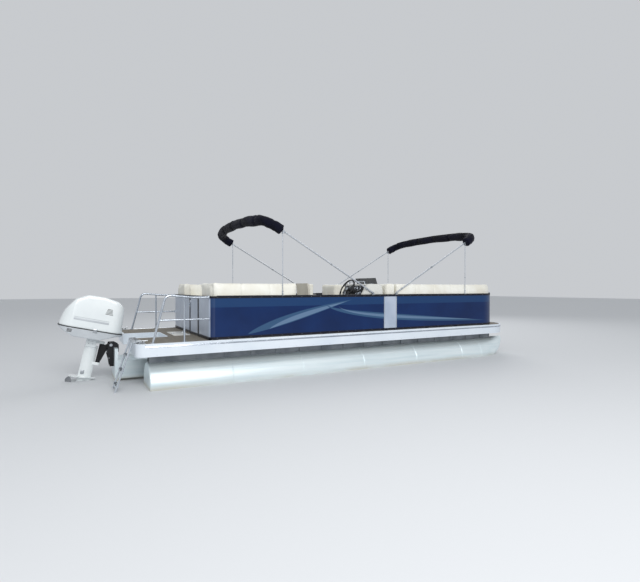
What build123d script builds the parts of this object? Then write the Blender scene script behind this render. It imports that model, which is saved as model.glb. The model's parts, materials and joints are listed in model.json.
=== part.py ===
from build123d import *
import math
import os

# Pontoon boat, in millimetres. +X is the bow, +Y is port, +Z is up.
# The sizes below are measured from the tubes' closed stern ends (x = 0), the
# centreline (y = 0) and the plane that the two keels stand on (z = 0).
# At the end everything moves along X, so that the whole boat is centred.

# Overall
BEAM = 2590.0
TUBE_LENGTH = 7340.0

# Tubes
TUBE_R = 317.5
TUBE_Y = BEAM / 2 - 340.0
KEEL_H = 15.0
KEEL_W = 60.0
KEEL_X = (150.0, TUBE_LENGTH - 1010.0)
TUBE_Z = KEEL_H + TUBE_R
NOSE_L = 900.0
END_CHAMFER = 14.0
SEAM_H = 2.5
SEAM_W = 10.0
SEAM_PITCH = 1180.0
STRAKE_X = (500.0, TUBE_LENGTH - 1360.0)
STRAKE_REACH = 62.0
EYE_R = 13.0
EYE_T = 14.0
EYE_X = TUBE_LENGTH - 130.0
EYE_Z = 322.0
EYE_TOE = 20.0
EYE_HALF = 40.0
EYE_RISE = 100.0

# Deck and what carries it
DECK_TOP = 935.0
DECK_T = 20.0
DECK_X = (-160.0, TUBE_LENGTH - 20.0)
DECK_BOW_R = 560.0
DECK_STERN_R = 90.0
TRIM_T = 20.0
TRIM_H = 180.0
TRIM_LIP = 5.0
CROSS_H = 110.0
CROSS_W = 50.0
CROSS_T = 5.0
CROSS_PITCH = 430.0
CROSS_FIRST = 20.0
CROSS_INSET = 40.0
CROSS_END = 415.0
RISER_W = 140.0
RISER_T = 5.0
RISER_X = (CROSS_FIRST, TUBE_LENGTH - 390.0)
NOTCH_X = 380.0
NOTCH_HALF = 390.0
NOTCH_R = 60.0

# Fence
FENCE_X = (820.0, DECK_X[1] - 280.0)
FENCE_TOP = 1580.0
FENCE_GAP = 15.0
FENCE_INSET = 27.0
RAIL = 32.0
PANEL_T = 4.0
PANEL_INSET = 3.0
FENCE_BOW_R = 560.0
FENCE_STERN_R = 80.0
FOOT_L = 60.0
POST_PITCH = 760.0
ACCENT_X = (3960.0, 4230.0)

# Gates: gap to the posts, hinge knuckles
GATE_GAP = 10.0
GATE_LIFT = 12.0
KNUCKLE_R = 5.0
KNUCKLE_OUT = 7.0
KNUCKLE_L = 40.0
PIN_CLEAR = 0.3

# Seats
SEAT_CLEAR = 0.3
SEAT_WALL_GAP = 5.0
BASE_H = 335.0
SEAT_T = 120.0
BACK_T = 130.0
BACK_TOP = 1790.0
KICK_H = 80.0
KICK_D = 55.0
CUSHION_GAP = 1.0
CUSHION_R = 28.0
CHAISE_T = 190.0

# Outboard: tilt axis, its trim at rest, and sizes in the leg's own upright frame
TRANSOM_X = -360.0
TRANSOM_T = 45.0
TILT_X = -400.0
TILT_Z = 820.0
REST_TILT = 13.0
STEER_X = -120.0
PLATE_Z = -550.0
SHAFT_Z = -722.0
SKEG_Z = -865.0
PROP_R = 155.0
PROP_X = -452.0
PROP_GAP = 0.5
COWL_HALF = 250.0
COWL_MID = -325.0
COWL_LENGTH = 900.0
COWL_CORNER = 180.0
COWL_TAPER = 7.0
COWL_WALL = 8.0
COWL_SEAM = 182.0
TRAY_Z = 50.0

# Folding tops
TOP_TUBE_R = 13.0
TOP_Y = BEAM / 2 - FENCE_INSET - RAIL / 2
TOP_PIVOT_Z = FENCE_TOP + 36.0
TOP_REACH = 2120.0
TOP_RISE = 1205.0
TOP_BEND = 320.0
TOP_CROWN = 130.0
BOOT_R = 84.0
BOOT_DROP = 420.0
STRUT_R = 9.0
STRUT_REACH = TOP_REACH - 400.0
STRUT_OFFSET = 36.0


def block(x, y, z):
    """A box from three (low, high) pairs."""
    middle = Pos((x[0] + x[1]) / 2, (y[0] + y[1]) / 2, (z[0] + z[1]) / 2)
    return middle * Box(x[1] - x[0], y[1] - y[0], z[1] - z[0])


def bar(start, end, radius):
    """A round bar between two points."""
    along = Vector(*end) - Vector(*start)
    return extrude(Plane(origin=start, z_dir=along) * Circle(radius), amount=along.length)


def bent_bar(points, bend, radius):
    """A round bar along straight runs joined by tangent arcs."""
    path = FilletPolyline(*points, radius=bend)
    return sweep(Plane(origin=path @ 0, z_dir=path % 0) * Circle(radius), path=path)


def side_face(points, y=0.0):
    """A face in the XZ plane from (x, z) points, at the given y, looking to -Y."""
    plane = Plane(origin=(0, y, 0), x_dir=(1, 0, 0), z_dir=(0, -1, 0))
    return plane * make_face(Polyline(*points, close=True))


def side_plate(points, y):
    """An (x, z) outline, extruded between two y values."""
    return extrude(side_face(points, y[1]), amount=y[1] - y[0])


def section_along_x(points, x):
    """A (y, z) outline, extruded between two x values."""
    plane = Plane(origin=(x[0], 0, 0), x_dir=(0, 1, 0), z_dir=(1, 0, 0))
    return extrude(plane * make_face(Polyline(*points, close=True)), amount=x[1] - x[0])


def rounded_plan(x, half_y, bow_r, stern_r):
    """A plan outline with its own corner radius at the bow and at the stern."""
    plan = Pos((x[0] + x[1]) / 2, 0) * Rectangle(x[1] - x[0], 2 * half_y)
    plan = fillet(plan.vertices().sort_by(Axis.X)[-2:], bow_r)
    return fillet(plan.vertices().sort_by(Axis.X)[:2], stern_r)


def plan_rect(x, y):
    """A plan rectangle from two (low, high) pairs."""
    return Pos((x[0] + x[1]) / 2, (y[0] + y[1]) / 2) * Rectangle(x[1] - x[0], y[1] - y[0])


def lift(plan, z):
    """A plan outline, extruded between two heights."""
    return Pos(0, 0, z[0]) * extrude(plan, amount=z[1] - z[0])


def mirrored(shape):
    """The same shape on the other side of the centreline."""
    return mirror(shape, Plane.XZ)


# Tubes

def make_tube():
    """The port tube, solid: barrel, nose, keel, strakes, weld bands and tow eye."""
    barrel_l = TUBE_LENGTH - NOSE_L
    barrel = Pos(barrel_l / 2, 0, TUBE_Z) * Rot(0, 90, 0) * Cylinder(TUBE_R, barrel_l)
    barrel = chamfer(barrel.edges().sort_by(Axis.X)[0], END_CHAMFER)
    top = TUBE_Z + TUBE_R
    # Nose sections: share of the nose's length, share of the tube's radius
    nose_table = ((0.0, 1.0), (0.5, 0.80), (0.85, 0.44), (1.0, 0.15))
    rings = []
    for along, share in nose_table:
        radius = TUBE_R * share
        centre = (barrel_l + NOSE_L * along, 0, top - radius)
        rings.append(Plane(origin=centre, z_dir=(1, 0, 0)) * Circle(radius))
    tube = barrel + loft(rings)
    tube += block(KEEL_X, (-KEEL_W / 2, KEEL_W / 2), (0, KEEL_H + 6))
    for side in (1, -1):
        low = math.radians(-72)
        high = math.radians(-38)
        hug = TUBE_R - 2
        inner = (side * hug * math.cos(high), TUBE_Z + hug * math.sin(high))
        foot = (side * hug * math.cos(low), TUBE_Z + hug * math.sin(low))
        lip = (inner[0] + side * STRAKE_REACH * 0.2, foot[1] + STRAKE_REACH * 0.6)
        tube += section_along_x((inner, foot, lip), STRAKE_X)
    for number in range(1, int(barrel_l / SEAM_PITCH) + 1):
        at = number * SEAM_PITCH
        tube += Pos(at, 0, TUBE_Z) * Rot(0, 90, 0) * Cylinder(TUBE_R + SEAM_H, SEAM_W)
    # The tow eye toes in towards the boat's centreline, in line with a tow bridle
    toe = Pos(EYE_X, 0, EYE_Z) * Rot(0, 0, -EYE_TOE)
    tube += toe * block((-EYE_HALF, EYE_HALF), (-EYE_T / 2, EYE_T / 2), (-EYE_HALF, EYE_RISE))
    tube -= toe * bar((0, -EYE_T, 0), (0, EYE_T, 0), EYE_R)
    return Pos(0, TUBE_Y, 0) * tube


def make_risers():
    """The channel on each tube that carries the cross members."""
    top = DECK_TOP - DECK_T - CROSS_H
    half = RISER_W / 2
    outer = block(RISER_X, (-half, half), (TUBE_Z, top))
    inner = block(RISER_X, (RISER_T - half, half - RISER_T), (TUBE_Z - 1, top - RISER_T))
    barrel = Pos(TUBE_LENGTH / 2, 0, TUBE_Z) * Rot(0, 90, 0) * Cylinder(TUBE_R, TUBE_LENGTH * 1.2)
    seams = outer - inner - barrel
    for number in range(1, int((TUBE_LENGTH - NOSE_L) / SEAM_PITCH) + 1):
        at = number * SEAM_PITCH
        reach = TUBE_R + SEAM_H + PIN_CLEAR
        seams -= Pos(at, 0, TUBE_Z) * Rot(0, 90, 0) * Cylinder(reach, SEAM_W + 1)
    port = Pos(0, TUBE_Y, 0) * seams
    return [port, mirrored(port)]


def cross_channel(x, y):
    """One cross member: an open channel between two y values."""
    z = (DECK_TOP - DECK_T - CROSS_H, DECK_TOP - DECK_T)
    solid = block((x, x + CROSS_W), y, z)
    hollow = block((x + CROSS_T, x + CROSS_W + 1), y, (z[0] + CROSS_T, z[1] - CROSS_T))
    return solid - hollow


def make_crossmembers():
    """The row of cross members, parted where the motor notch is."""
    reach = BEAM / 2 - TRIM_T - CROSS_INSET
    pieces = []
    count = int((DECK_X[1] - CROSS_END - CROSS_FIRST) / CROSS_PITCH) + 1
    for number in range(count):
        x = CROSS_FIRST + number * CROSS_PITCH
        if x < NOTCH_X + TRIM_T:
            stub = cross_channel(x, (NOTCH_HALF + TRIM_T + 1, reach))
            pieces += [stub, mirrored(stub)]
        else:
            pieces.append(cross_channel(x, (-reach, reach)))
    return pieces


# Deck

def deck_plan(grow):
    """The deck's plan with its motor notch; grow is what the trim adds all round."""
    x = (DECK_X[0] - grow, DECK_X[1] + grow)
    plan = rounded_plan(x, BEAM / 2 - TRIM_T + grow, DECK_BOW_R + grow, DECK_STERN_R + grow)
    depth = NOTCH_X + TRIM_T - grow
    half = NOTCH_HALF + TRIM_T - grow
    notch = plan_rect((DECK_X[0] - 100, depth), (-half, half))
    corners = [v for v in notch.vertices() if v.X > 0]
    return plan - fillet(corners, NOTCH_R)


def make_deck():
    """The deck board."""
    return lift(deck_plan(0), (DECK_TOP - DECK_T, DECK_TOP))


def make_trim():
    """The wide edge trim all round the deck and in the notch."""
    low = DECK_TOP + TRIM_LIP - TRIM_H
    band = lift(deck_plan(TRIM_T) - deck_plan(0), (low, DECK_TOP + TRIM_LIP))
    return band


# Motor pod: its top, bottom and ends in the XZ plane, its section across
POD_TOP = 600.0
POD_BOTTOM = 195.0
POD_X = (TRANSOM_X + TRANSOM_T, 1250.0)
POD_HALF = 320.0
POD_CHINE = 330.0
TRANSOM_TOP = TILT_Z - 42.0
TRANSOM_HALF = 300.0
HANGER_T = 8.0


def make_pod():
    """The motor pod: a vee-bottomed hull, its transom and the hangers to the deck frame."""
    section = (
        (-POD_HALF, POD_TOP), (-POD_HALF, POD_CHINE), (0, POD_BOTTOM),
        (POD_HALF, POD_CHINE), (POD_HALF, POD_TOP))
    pod = section_along_x(section, POD_X)
    rise = (
        (POD_X[0], POD_BOTTOM - 10), (POD_X[1] - 620, POD_BOTTOM - 10),
        (POD_X[1], POD_TOP - 90), (POD_X[1], POD_TOP), (POD_X[0], POD_TOP))
    pod = pod & side_plate(rise, (-POD_HALF, POD_HALF))
    pod += block((TRANSOM_X, POD_X[0]), (-TRANSOM_HALF, TRANSOM_HALF), (POD_BOTTOM + 60, TRANSOM_TOP))
    frame_z = DECK_TOP - DECK_T - CROSS_H
    for side in (1, -1):
        edge = side * (POD_HALF - HANGER_T / 2)
        y = (edge - HANGER_T / 2, edge + HANGER_T / 2)
        pod += side_plate((
            (NOTCH_X + 60, POD_TOP - 1), (POD_X[1] - 20, POD_TOP - 1),
            (POD_X[1] - 20, frame_z), (NOTCH_X + 60, frame_z)), y)
    return pod


# Fence

FENCE_HALF = BEAM / 2 - FENCE_INSET
FENCE_LOW = DECK_TOP + FENCE_GAP


def fence_band(outer, inner):
    """The plan ring between two insets from the fence's outer face."""
    rings = []
    for inset in (outer, inner):
        x = (FENCE_X[0] + inset, FENCE_X[1] - inset)
        rings.append(rounded_plan(x, FENCE_HALF - inset, FENCE_BOW_R - inset, FENCE_STERN_R - inset))
    return rings[0] - rings[1]


# The stern gate swings in just clear of the starboard lounge's front face
LOUNGE_DEPTH = 640.0
STERN_GATE_Y = RAIL + LOUNGE_DEPTH + 6.0 - FENCE_HALF
# Gates: name, wall, low and high ends of the opening along that wall, hinge end
GATE_TABLE = (
    ("bow_gate", "bow", -335.0, 335.0, 1),
    ("stern_gate", "stern", STERN_GATE_Y, STERN_GATE_Y + 570.0, -1),
    ("side_gate", "port", 3290.0, 3900.0, -1),
)


def wall_block(wall, along, inset, z):
    """A box in one wall: along the wall, then between two insets from its outer face."""
    if wall == "bow":
        return block((FENCE_X[1] - inset[1], FENCE_X[1] - inset[0]), along, z)
    if wall == "stern":
        return block((FENCE_X[0] + inset[0], FENCE_X[0] + inset[1]), along, z)
    if wall == "port":
        return block(along, (FENCE_HALF - inset[1], FENCE_HALF - inset[0]), z)
    return block(along, (inset[0] - FENCE_HALF, inset[1] - FENCE_HALF), z)


SPLIT_BOW = FENCE_X[1] - FENCE_BOW_R
SPLIT_STERN = FENCE_X[0] + FENCE_STERN_R
# Fence regions: name, wall, plan region, post places along the wall
REGIONS = (
    ("starboard", "starboard", ((SPLIT_STERN, SPLIT_BOW), (-BEAM, 0.0))),
    ("port", "port", ((SPLIT_STERN, SPLIT_BOW), (0.0, BEAM))),
    ("bow", "bow", ((SPLIT_BOW, FENCE_X[1] + 10), (-BEAM, BEAM))),
    ("stern", "stern", ((FENCE_X[0] - 10, SPLIT_STERN), (-BEAM, BEAM))),
)


def gate_openings(wall):
    """The (low, high) openings in one wall."""
    return [(low, high) for _, at, low, high, _ in GATE_TABLE if at == wall]


def post_places(wall):
    """Low edges of the posts along a wall: its ends, each gate's sides and a near-even rest."""
    if wall in ("starboard", "port"):
        low, high = SPLIT_STERN, SPLIT_BOW
    else:
        half = FENCE_HALF - (FENCE_BOW_R if wall == "bow" else FENCE_STERN_R)
        low, high = -half, half
    stops = [low, high - RAIL]
    for start, end in gate_openings(wall):
        stops += [start - RAIL, end]
    if wall in ("starboard", "port"):
        stops += [ACCENT_X[0] - RAIL / 2, ACCENT_X[1] - RAIL / 2]
    stops.sort()
    places = list(stops)
    openings = [start for start, _ in gate_openings(wall)]
    for left, right in zip(stops, stops[1:]):
        if left + RAIL in openings:
            continue
        count = int((right - left) / POST_PITCH)
        for number in range(1, count + 1):
            places.append(left + (right - left) * number / (count + 1))
    return sorted(places)


def make_fence_part(wall, region):
    """One wall of the fence: its frame solids, and its panel solids."""
    plan = plan_rect(*region)
    for start, end in gate_openings(wall):
        if wall == "port":
            plan -= plan_rect((start, end), (0, BEAM))
        else:
            plan -= plan_rect(region[0], (start, end))
    rail_plan = fence_band(0, RAIL) & plan
    post_z = (FENCE_LOW + RAIL, FENCE_TOP - RAIL)
    frame = lift(rail_plan, (FENCE_LOW, FENCE_LOW + RAIL))
    frame += lift(rail_plan, (FENCE_TOP - RAIL, FENCE_TOP))
    skin = PANEL_INSET + PANEL_T
    for place in post_places(wall):
        span = (place, place + RAIL)
        gate_post = any(place in (start - RAIL, end) for start, end in gate_openings(wall))
        inset = (0, RAIL) if gate_post else (skin, RAIL)
        frame += wall_block(wall, span, inset, post_z)
        foot = ((span[0] + span[1] - FOOT_L) / 2, (span[0] + span[1] + FOOT_L) / 2)
        frame += wall_block(wall, span if gate_post else foot, (2, RAIL - 2), (DECK_TOP, FENCE_LOW))
    panels = lift(fence_band(PANEL_INSET, skin) & plan, post_z)
    for start, end in gate_openings(wall):
        panels -= wall_block(wall, (start - RAIL, end + RAIL), (-5, RAIL), post_z)
    return frame, panels


def make_fence():
    """All four walls: frames by wall, panels by side, bow or stern, pale accent panels."""
    frames = {}
    panels = {"side": [], "bow": [], "stern": []}
    accents = []
    for name, wall, region in REGIONS:
        frame, skin = make_fence_part(wall, region)
        frames[name] = frame.solids()
        if wall in ("bow", "stern"):
            panels[wall] += skin.solids()
            continue
        slot = block(ACCENT_X, (-BEAM, BEAM), (0, FENCE_TOP))
        panels["side"] += (skin - slot).solids()
        accents += (skin & slot).solids()
    return frames, panels, accents


def make_gate(wall, low, high):
    """A gate: its frame with hinge knuckles, and its panel. It swings inwards."""
    span = (low + GATE_GAP, high - GATE_GAP)
    z = (DECK_TOP + GATE_LIFT, FENCE_TOP)
    inner = (span[0] + RAIL, span[1] - RAIL)
    inner_z = (z[0] + RAIL, z[1] - RAIL)
    frame = wall_block(wall, span, (0, RAIL), z) - wall_block(wall, inner, (-1, RAIL + 1), inner_z)
    panel = wall_block(wall, inner, (PANEL_INSET, PANEL_INSET + PANEL_T), inner_z)
    return frame, panel


def gate_axis(wall, low, high, hinge_end):
    """The hinge line's (x, y): in the middle of the gap, just inside the fence's inner face."""
    along = low + GATE_GAP / 2 if hinge_end < 0 else high - GATE_GAP / 2
    if wall == "bow":
        return FENCE_X[1] - RAIL - KNUCKLE_OUT, along
    if wall == "stern":
        return FENCE_X[0] + RAIL + KNUCKLE_OUT, along
    return along, FENCE_HALF - RAIL - KNUCKLE_OUT


def make_hinges(wall, low, high, hinge_end):
    """Hinge knuckles in the gap: the middle one on the gate, the outer two on the post."""
    x, y = gate_axis(wall, low, high, hinge_end)
    on_gate = []
    on_post = []
    away = 1 if hinge_end < 0 else -1
    for height in (FENCE_LOW + 130, FENCE_TOP - 130):
        for shift, to_gate in ((0, True), (1, False), (-1, False)):
            mid = height + shift * (KNUCKLE_L + PIN_CLEAR)
            knuckle_z = (mid - KNUCKLE_L / 2, mid + KNUCKLE_L / 2)
            knuckle = bar((x, y, knuckle_z[0]), (x, y, knuckle_z[1]), KNUCKLE_R)
            reach = GATE_GAP / 2 + 22
            sign = away if to_gate else -away
            along_mid = y if wall in ("bow", "stern") else x
            leaf_span = sorted((along_mid, along_mid + sign * reach))
            leaf = wall_block(wall, leaf_span, (RAIL, RAIL + 3), knuckle_z)
            piece = knuckle + leaf
            (on_gate if to_gate else on_post).append(piece)
    return on_gate, on_post


# Stern handrails

HANDRAIL_R = 16.0
HANDRAIL_TOP = 1600.0
HANDRAIL_X = (45.0, 215.0)
HANDRAIL_POST_X = 470.0
HANDRAIL_MID = 1250.0
FLANGE_R = 34.0
FLANGE_T = 6.0


def make_handrail():
    """The port handrail on the aft platform, with its post, middle bar and flanges."""
    y = TOP_Y
    end_x = FENCE_X[0] + FENCE_STERN_R
    rail_z = FENCE_TOP - RAIL / 2
    rail = bent_bar((
        (FENCE_X[0] + 4, y - 30, rail_z), (HANDRAIL_POST_X + 120, y - 30, rail_z),
        (HANDRAIL_X[1], y - 30, HANDRAIL_TOP), (HANDRAIL_X[0], y - 30, DECK_TOP + FLANGE_T)),
        90, HANDRAIL_R)
    rail += bar((HANDRAIL_POST_X, y - 30, DECK_TOP), (HANDRAIL_POST_X, y - 30, rail_z + 6), HANDRAIL_R * 0.8)
    slope = (HANDRAIL_MID - DECK_TOP) / (HANDRAIL_TOP - DECK_TOP)
    mid_x = HANDRAIL_X[0] + (HANDRAIL_X[1] - HANDRAIL_X[0]) * slope
    rail += bar((mid_x, y - 30, HANDRAIL_MID), (FENCE_X[0] + 4, y - 30, HANDRAIL_MID), HANDRAIL_R * 0.8)
    for x in (HANDRAIL_X[0], HANDRAIL_POST_X):
        rail += bar((x, y - 30, DECK_TOP), (x, y - 30, DECK_TOP + FLANGE_T), FLANGE_R)
    clear = block((FENCE_X[0], end_x + 200), (0, BEAM), (0, FENCE_TOP + 100))
    return rail - clear


# Lounges: name, x range, side (1 is port), chaise back at the aft end
LOUNGE_TABLE = (
    ("bow_lounge_starboard", (4060.0, FENCE_X[1] - 60.0), -1, True),
    ("bow_lounge_port", (4060.0, FENCE_X[1] - 60.0), 1, True),
    ("aft_lounge_starboard", (870.0, 2260.0), -1, False),
    ("aft_lounge_port", (870.0, 3190.0), 1, False),
)


def inner_plan(inset):
    """The plan inside the fence, a further inset from its inner face."""
    gap = RAIL + SEAT_WALL_GAP + inset
    x = (FENCE_X[0] + gap, FENCE_X[1] - gap)
    stern_r = max(FENCE_STERN_R - gap, 20)
    return rounded_plan(x, FENCE_HALF - gap, FENCE_BOW_R - gap, stern_r)


def make_lounge(x, side, chaise):
    """One lounge: its moulded base, then its seat and back cushions."""
    face = FENCE_HALF - RAIL - LOUNGE_DEPTH
    y = (face, BEAM) if side > 0 else (-BEAM, -face)
    area = plan_rect(x, y)
    base_top = DECK_TOP + BASE_H
    base = lift(inner_plan(0) & area, (DECK_TOP, base_top))
    kick_y = (face - 5, face + KICK_D) if side > 0 else (-face - KICK_D, 5 - face)
    base -= block((x[0] - 5, x[1] + 5), kick_y, (DECK_TOP - 5, DECK_TOP + KICK_H))
    low = base_top + SEAT_CLEAR
    seat_x = (x[0] + CHAISE_T + CUSHION_GAP, x[1]) if chaise else x
    seat_plan = inner_plan(BACK_T + CUSHION_GAP) & plan_rect(seat_x, y)
    seat = lift(seat_plan, (low, low + SEAT_T))
    seat = fillet(seat.edges().group_by(Axis.Z)[-1], CUSHION_R)
    back_x = seat_x
    back = lift((inner_plan(0) - inner_plan(BACK_T)) & plan_rect(back_x, y), (low, BACK_TOP))
    back = fillet(back.edges().group_by(Axis.Z)[-1], CUSHION_R)
    cushions = [seat, back]
    if chaise:
        end_plan = inner_plan(0) & plan_rect((x[0], x[0] + CHAISE_T), y)
        end = lift(end_plan, (low, BACK_TOP))
        cushions.append(fillet(end.edges().group_by(Axis.Z)[-1], CUSHION_R))
    return base, cushions


# Helm console and wheel
CONSOLE_X = (3440.0, 3980.0)
CONSOLE_SIDE = RAIL + 11.0 - FENCE_HALF
CONSOLE_Y = (CONSOLE_SIDE, CONSOLE_SIDE + 705.0)
CONSOLE_TOP = 1770.0
DASH_LOW = 1500.0
SCREEN_T = 6.0
SCREEN_RISE = 110.0
WHEEL_R = 185.0
WHEEL_RIM = 13.0
WHEEL_TILT = 35.0
WHEEL_Y = CONSOLE_SIDE + 425.0
WHEEL_STAND = 95.0
LEVER_PIVOT = (3680.0, 1600.0)
LEVER_BOX_T = 38.0
LEVER_L = 165.0


def dash_point():
    """Where the wheel's shaft leaves the dash, and its direction."""
    dash_mid = ((CONSOLE_X[0] + 30 + CONSOLE_X[0] + 190) / 2, (DASH_LOW + CONSOLE_TOP) / 2)
    run = 160.0
    rise = CONSOLE_TOP - DASH_LOW
    size = math.hypot(run, rise)
    normal = (-rise / size, run / size)
    return (dash_mid[0], WHEEL_Y, dash_mid[1]), (normal[0], 0, normal[1])


def make_console():
    """The helm console, with a footwell below the dash, and its throttle box."""
    x0, x1 = CONSOLE_X
    outline = (
        (x1, DECK_TOP), (x1, CONSOLE_TOP - 160), (x1 - 60, CONSOLE_TOP - 20), (x1 - 120, CONSOLE_TOP),
        (x0 + 190, CONSOLE_TOP), (x0 + 30, DASH_LOW), (x0, DASH_LOW - 60), (x0 + 40, DASH_LOW - 120),
        (x0 + 150, DASH_LOW - 160), (x0 + 150, DECK_TOP + 120), (x0 + 90, DECK_TOP + 100),
        (x0 + 90, DECK_TOP))
    console = side_plate(outline, CONSOLE_Y)
    uprights = [e for e in console.edges().filter_by(Axis.Z) if abs(e.center().X - x1) < 1]
    console = fillet(uprights, 50)
    # The throttle's box on the inboard side
    x, z = LEVER_PIVOT
    y = (CONSOLE_Y[1] - 5, CONSOLE_Y[1] + LEVER_BOX_T)
    return console + block((x - 55, x + 55), y, (z - 75, z + 55))


def make_lever():
    """The throttle lever: its boss on the box, an upright arm and a grip that reaches inboard."""
    x, z = LEVER_PIVOT
    face = CONSOLE_Y[1] + LEVER_BOX_T + PIN_CLEAR
    lever = bar((x, face, z), (x, face + 14, z), 24)
    lever += block((x - 9, x + 9), (face + 2, face + 12), (z, z + LEVER_L))
    lever += bar((x, face + 2, z + LEVER_L), (x, face + 62, z + LEVER_L), 15)
    return lever


def make_screen():
    """The low tinted screen on the console, bent at its two sides."""
    x1 = CONSOLE_X[1] - 118
    lean = 40.0
    y = (CONSOLE_Y[0] + 30, CONSOLE_Y[1] - 30)
    sheet = side_plate((
        (x1 - SCREEN_T, CONSOLE_TOP), (x1, CONSOLE_TOP),
        (x1 - lean, CONSOLE_TOP + SCREEN_RISE), (x1 - lean - SCREEN_T, CONSOLE_TOP + SCREEN_RISE)), y)
    return sheet


def make_wheel():
    """The steering wheel: rim, three spokes, hub and shaft."""
    at, normal = dash_point()
    wheel = Pos(0, 0, WHEEL_STAND) * Torus(WHEEL_R, WHEEL_RIM)
    wheel += Pos(0, 0, WHEEL_STAND / 2 + PIN_CLEAR) * Cylinder(16, WHEEL_STAND)
    wheel += Pos(0, 0, WHEEL_STAND - 6) * Cylinder(42, 24)
    for number in range(3):
        angle = 90 + number * 120
        spoke = Pos(WHEEL_R / 2 + 8, 0, WHEEL_STAND) * Box(WHEEL_R - 20, 34, 8)
        wheel += Rot(0, 0, angle) * spoke
    place = Plane(origin=at, x_dir=(0, 1, 0), z_dir=normal)
    return place * wheel


# Captain's chair
CHAIR_X = 2860.0
CHAIR_Y = CONSOLE_SIDE + 485.0
CHAIR_SEAT_Z = 1330.0
CHAIR_TURN_Z = 1250.0


def make_pedestal():
    """The chair's post on its round foot."""
    foot = Pos(CHAIR_X, CHAIR_Y, 0) * lift(Circle(170), (DECK_TOP, DECK_TOP + 12))
    post = Pos(CHAIR_X, CHAIR_Y, 0) * lift(Circle(38), (DECK_TOP + 12, CHAIR_TURN_Z))
    return foot + post


def make_chair():
    """The chair's plate, shell and armrests, then its seat and back pads. It faces the bow."""
    base = block((-150, 150), (-150, 150), (CHAIR_TURN_Z + PIN_CLEAR, CHAIR_TURN_Z + 20))
    pan = block((-230, 250), (-250, 250), (CHAIR_TURN_Z + 20, CHAIR_SEAT_Z - 30))
    shell = side_plate((
        (-230, CHAIR_TURN_Z + 20), (-200, CHAIR_TURN_Z + 20),
        (-270, BACK_TOP - 10), (-290, BACK_TOP - 10)), (-220, 220))
    chair = base + pan + shell
    for side in (1, -1):
        y = (side * 270 - 20, side * 270 + 20)
        chair += block((-235, 150), y, (CHAIR_SEAT_Z + 190, CHAIR_SEAT_Z + 225))
        chair += block((-215, -175), y, (CHAIR_TURN_Z + 22, CHAIR_SEAT_Z + 190))
        link = (min(side * 215, side * 250), max(side * 215, side * 255))
        chair += block((-215, -175), link, (CHAIR_TURN_Z + 22, CHAIR_TURN_Z + 50))
    seat = block((-165, 250), (-240, 240), (CHAIR_SEAT_Z - 30 + SEAT_CLEAR, CHAIR_SEAT_Z + 70))
    seat = fillet(seat.edges().group_by(Axis.Z)[-1], CUSHION_R)
    back = side_plate((
        (-199.5, CHAIR_SEAT_Z - 20), (-166, CHAIR_SEAT_Z - 20), (-166, CHAIR_SEAT_Z + 75),
        (-170, BACK_TOP), (-266, BACK_TOP - 8)), (-235, 235))
    slack = CUSHION_GAP
    back = Pos(slack, 0, 0) * back - seat
    place = Pos(CHAIR_X, CHAIR_Y, 0)
    return place * chair, [place * seat, place * (back - shell)]


# Ladder
LADDER_Y = (175.0 - BEAM / 2, 495.0 - BEAM / 2)
LADDER_PIVOT = (-202.0, 972.0)
LADDER_L = 900.0
LADDER_SLOPE = 18.0
LADDER_R = 12.5
TREAD_COUNT = 4
TREAD_D = 46.0
TREAD_T = 18.0


def make_ladder():
    """The boarding ladder, straight down from its pivot before it is set to its slope."""
    pitch = (LADDER_L - 60) / TREAD_COUNT
    ladder = None
    for number in range(TREAD_COUNT):
        z = -60 - pitch * (number + 0.75)
        step = block((-TREAD_D / 2, TREAD_D / 2), LADDER_Y, (-TREAD_T / 2, TREAD_T / 2))
        step = Pos(0, 0, z) * Rot(0, -LADDER_SLOPE, 0) * step
        ladder = step if ladder is None else ladder + step
    for y in LADDER_Y:
        leg = bar((0, y, 0), (0, y, -LADDER_L), LADDER_R)
        leg += bar((0, y - LADDER_R - 2, 0), (0, y + LADDER_R + 2, 0), LADDER_R + 2)
        ladder += leg
        ladder -= bar((0, y - 30, 0), (0, y + 30, 0), 6 + PIN_CLEAR)
    swing = Pos(LADDER_PIVOT[0], 0, LADDER_PIVOT[1]) * Rot(0, LADDER_SLOPE, 0)
    return swing * ladder


def make_fittings():
    """The ladder's two forked brackets and four mooring cleats, all on the deck."""
    pieces = []
    x, z = LADDER_PIVOT
    for y in LADDER_Y:
        fork = None
        for side in (1, -1):
            ear_y = sorted((y + side * (LADDER_R + 6), y + side * (LADDER_R + 12)))
            ear = side_plate((
                (DECK_X[0] + 8, DECK_TOP + 8), (DECK_X[0] + 90, DECK_TOP + 8), (DECK_X[0] + 30, z + 16),
                (x - 14, z + 16), (x - 14, z - 14), (DECK_X[0] - 22, DECK_TOP + TRIM_LIP + 6)), ear_y)
            fork = ear if fork is None else fork + ear
        width = (y - LADDER_R - 30, y + LADDER_R + 30)
        fork += block((DECK_X[0] + 8, DECK_X[0] + 110), width, (DECK_TOP, DECK_TOP + 9))
        fork += bar((x, y - LADDER_R - 12, z), (x, y + LADDER_R + 12, z), 6)
        pieces.append(fork)
    # Cleats: x, y
    aft = (DECK_X[0] + 65, BEAM / 2 - 90)
    fore = (DECK_X[1] - 140, BEAM / 2 - 655)
    for cx, cy in (aft, (aft[0], -aft[1]), fore, (fore[0], -fore[1])):
        cleat = bar((cx - 75, cy, DECK_TOP + 42), (cx + 75, cy, DECK_TOP + 42), 9)
        for foot in (-26, 26):
            cleat += bar((cx + foot, cy, DECK_TOP), (cx + foot, cy, DECK_TOP + 42), 11)
        cleat += block((cx - 45, cx + 45), (cy - 18, cy + 18), (DECK_TOP, DECK_TOP + 7))
        pieces.append(cleat)
    return pieces


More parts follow.
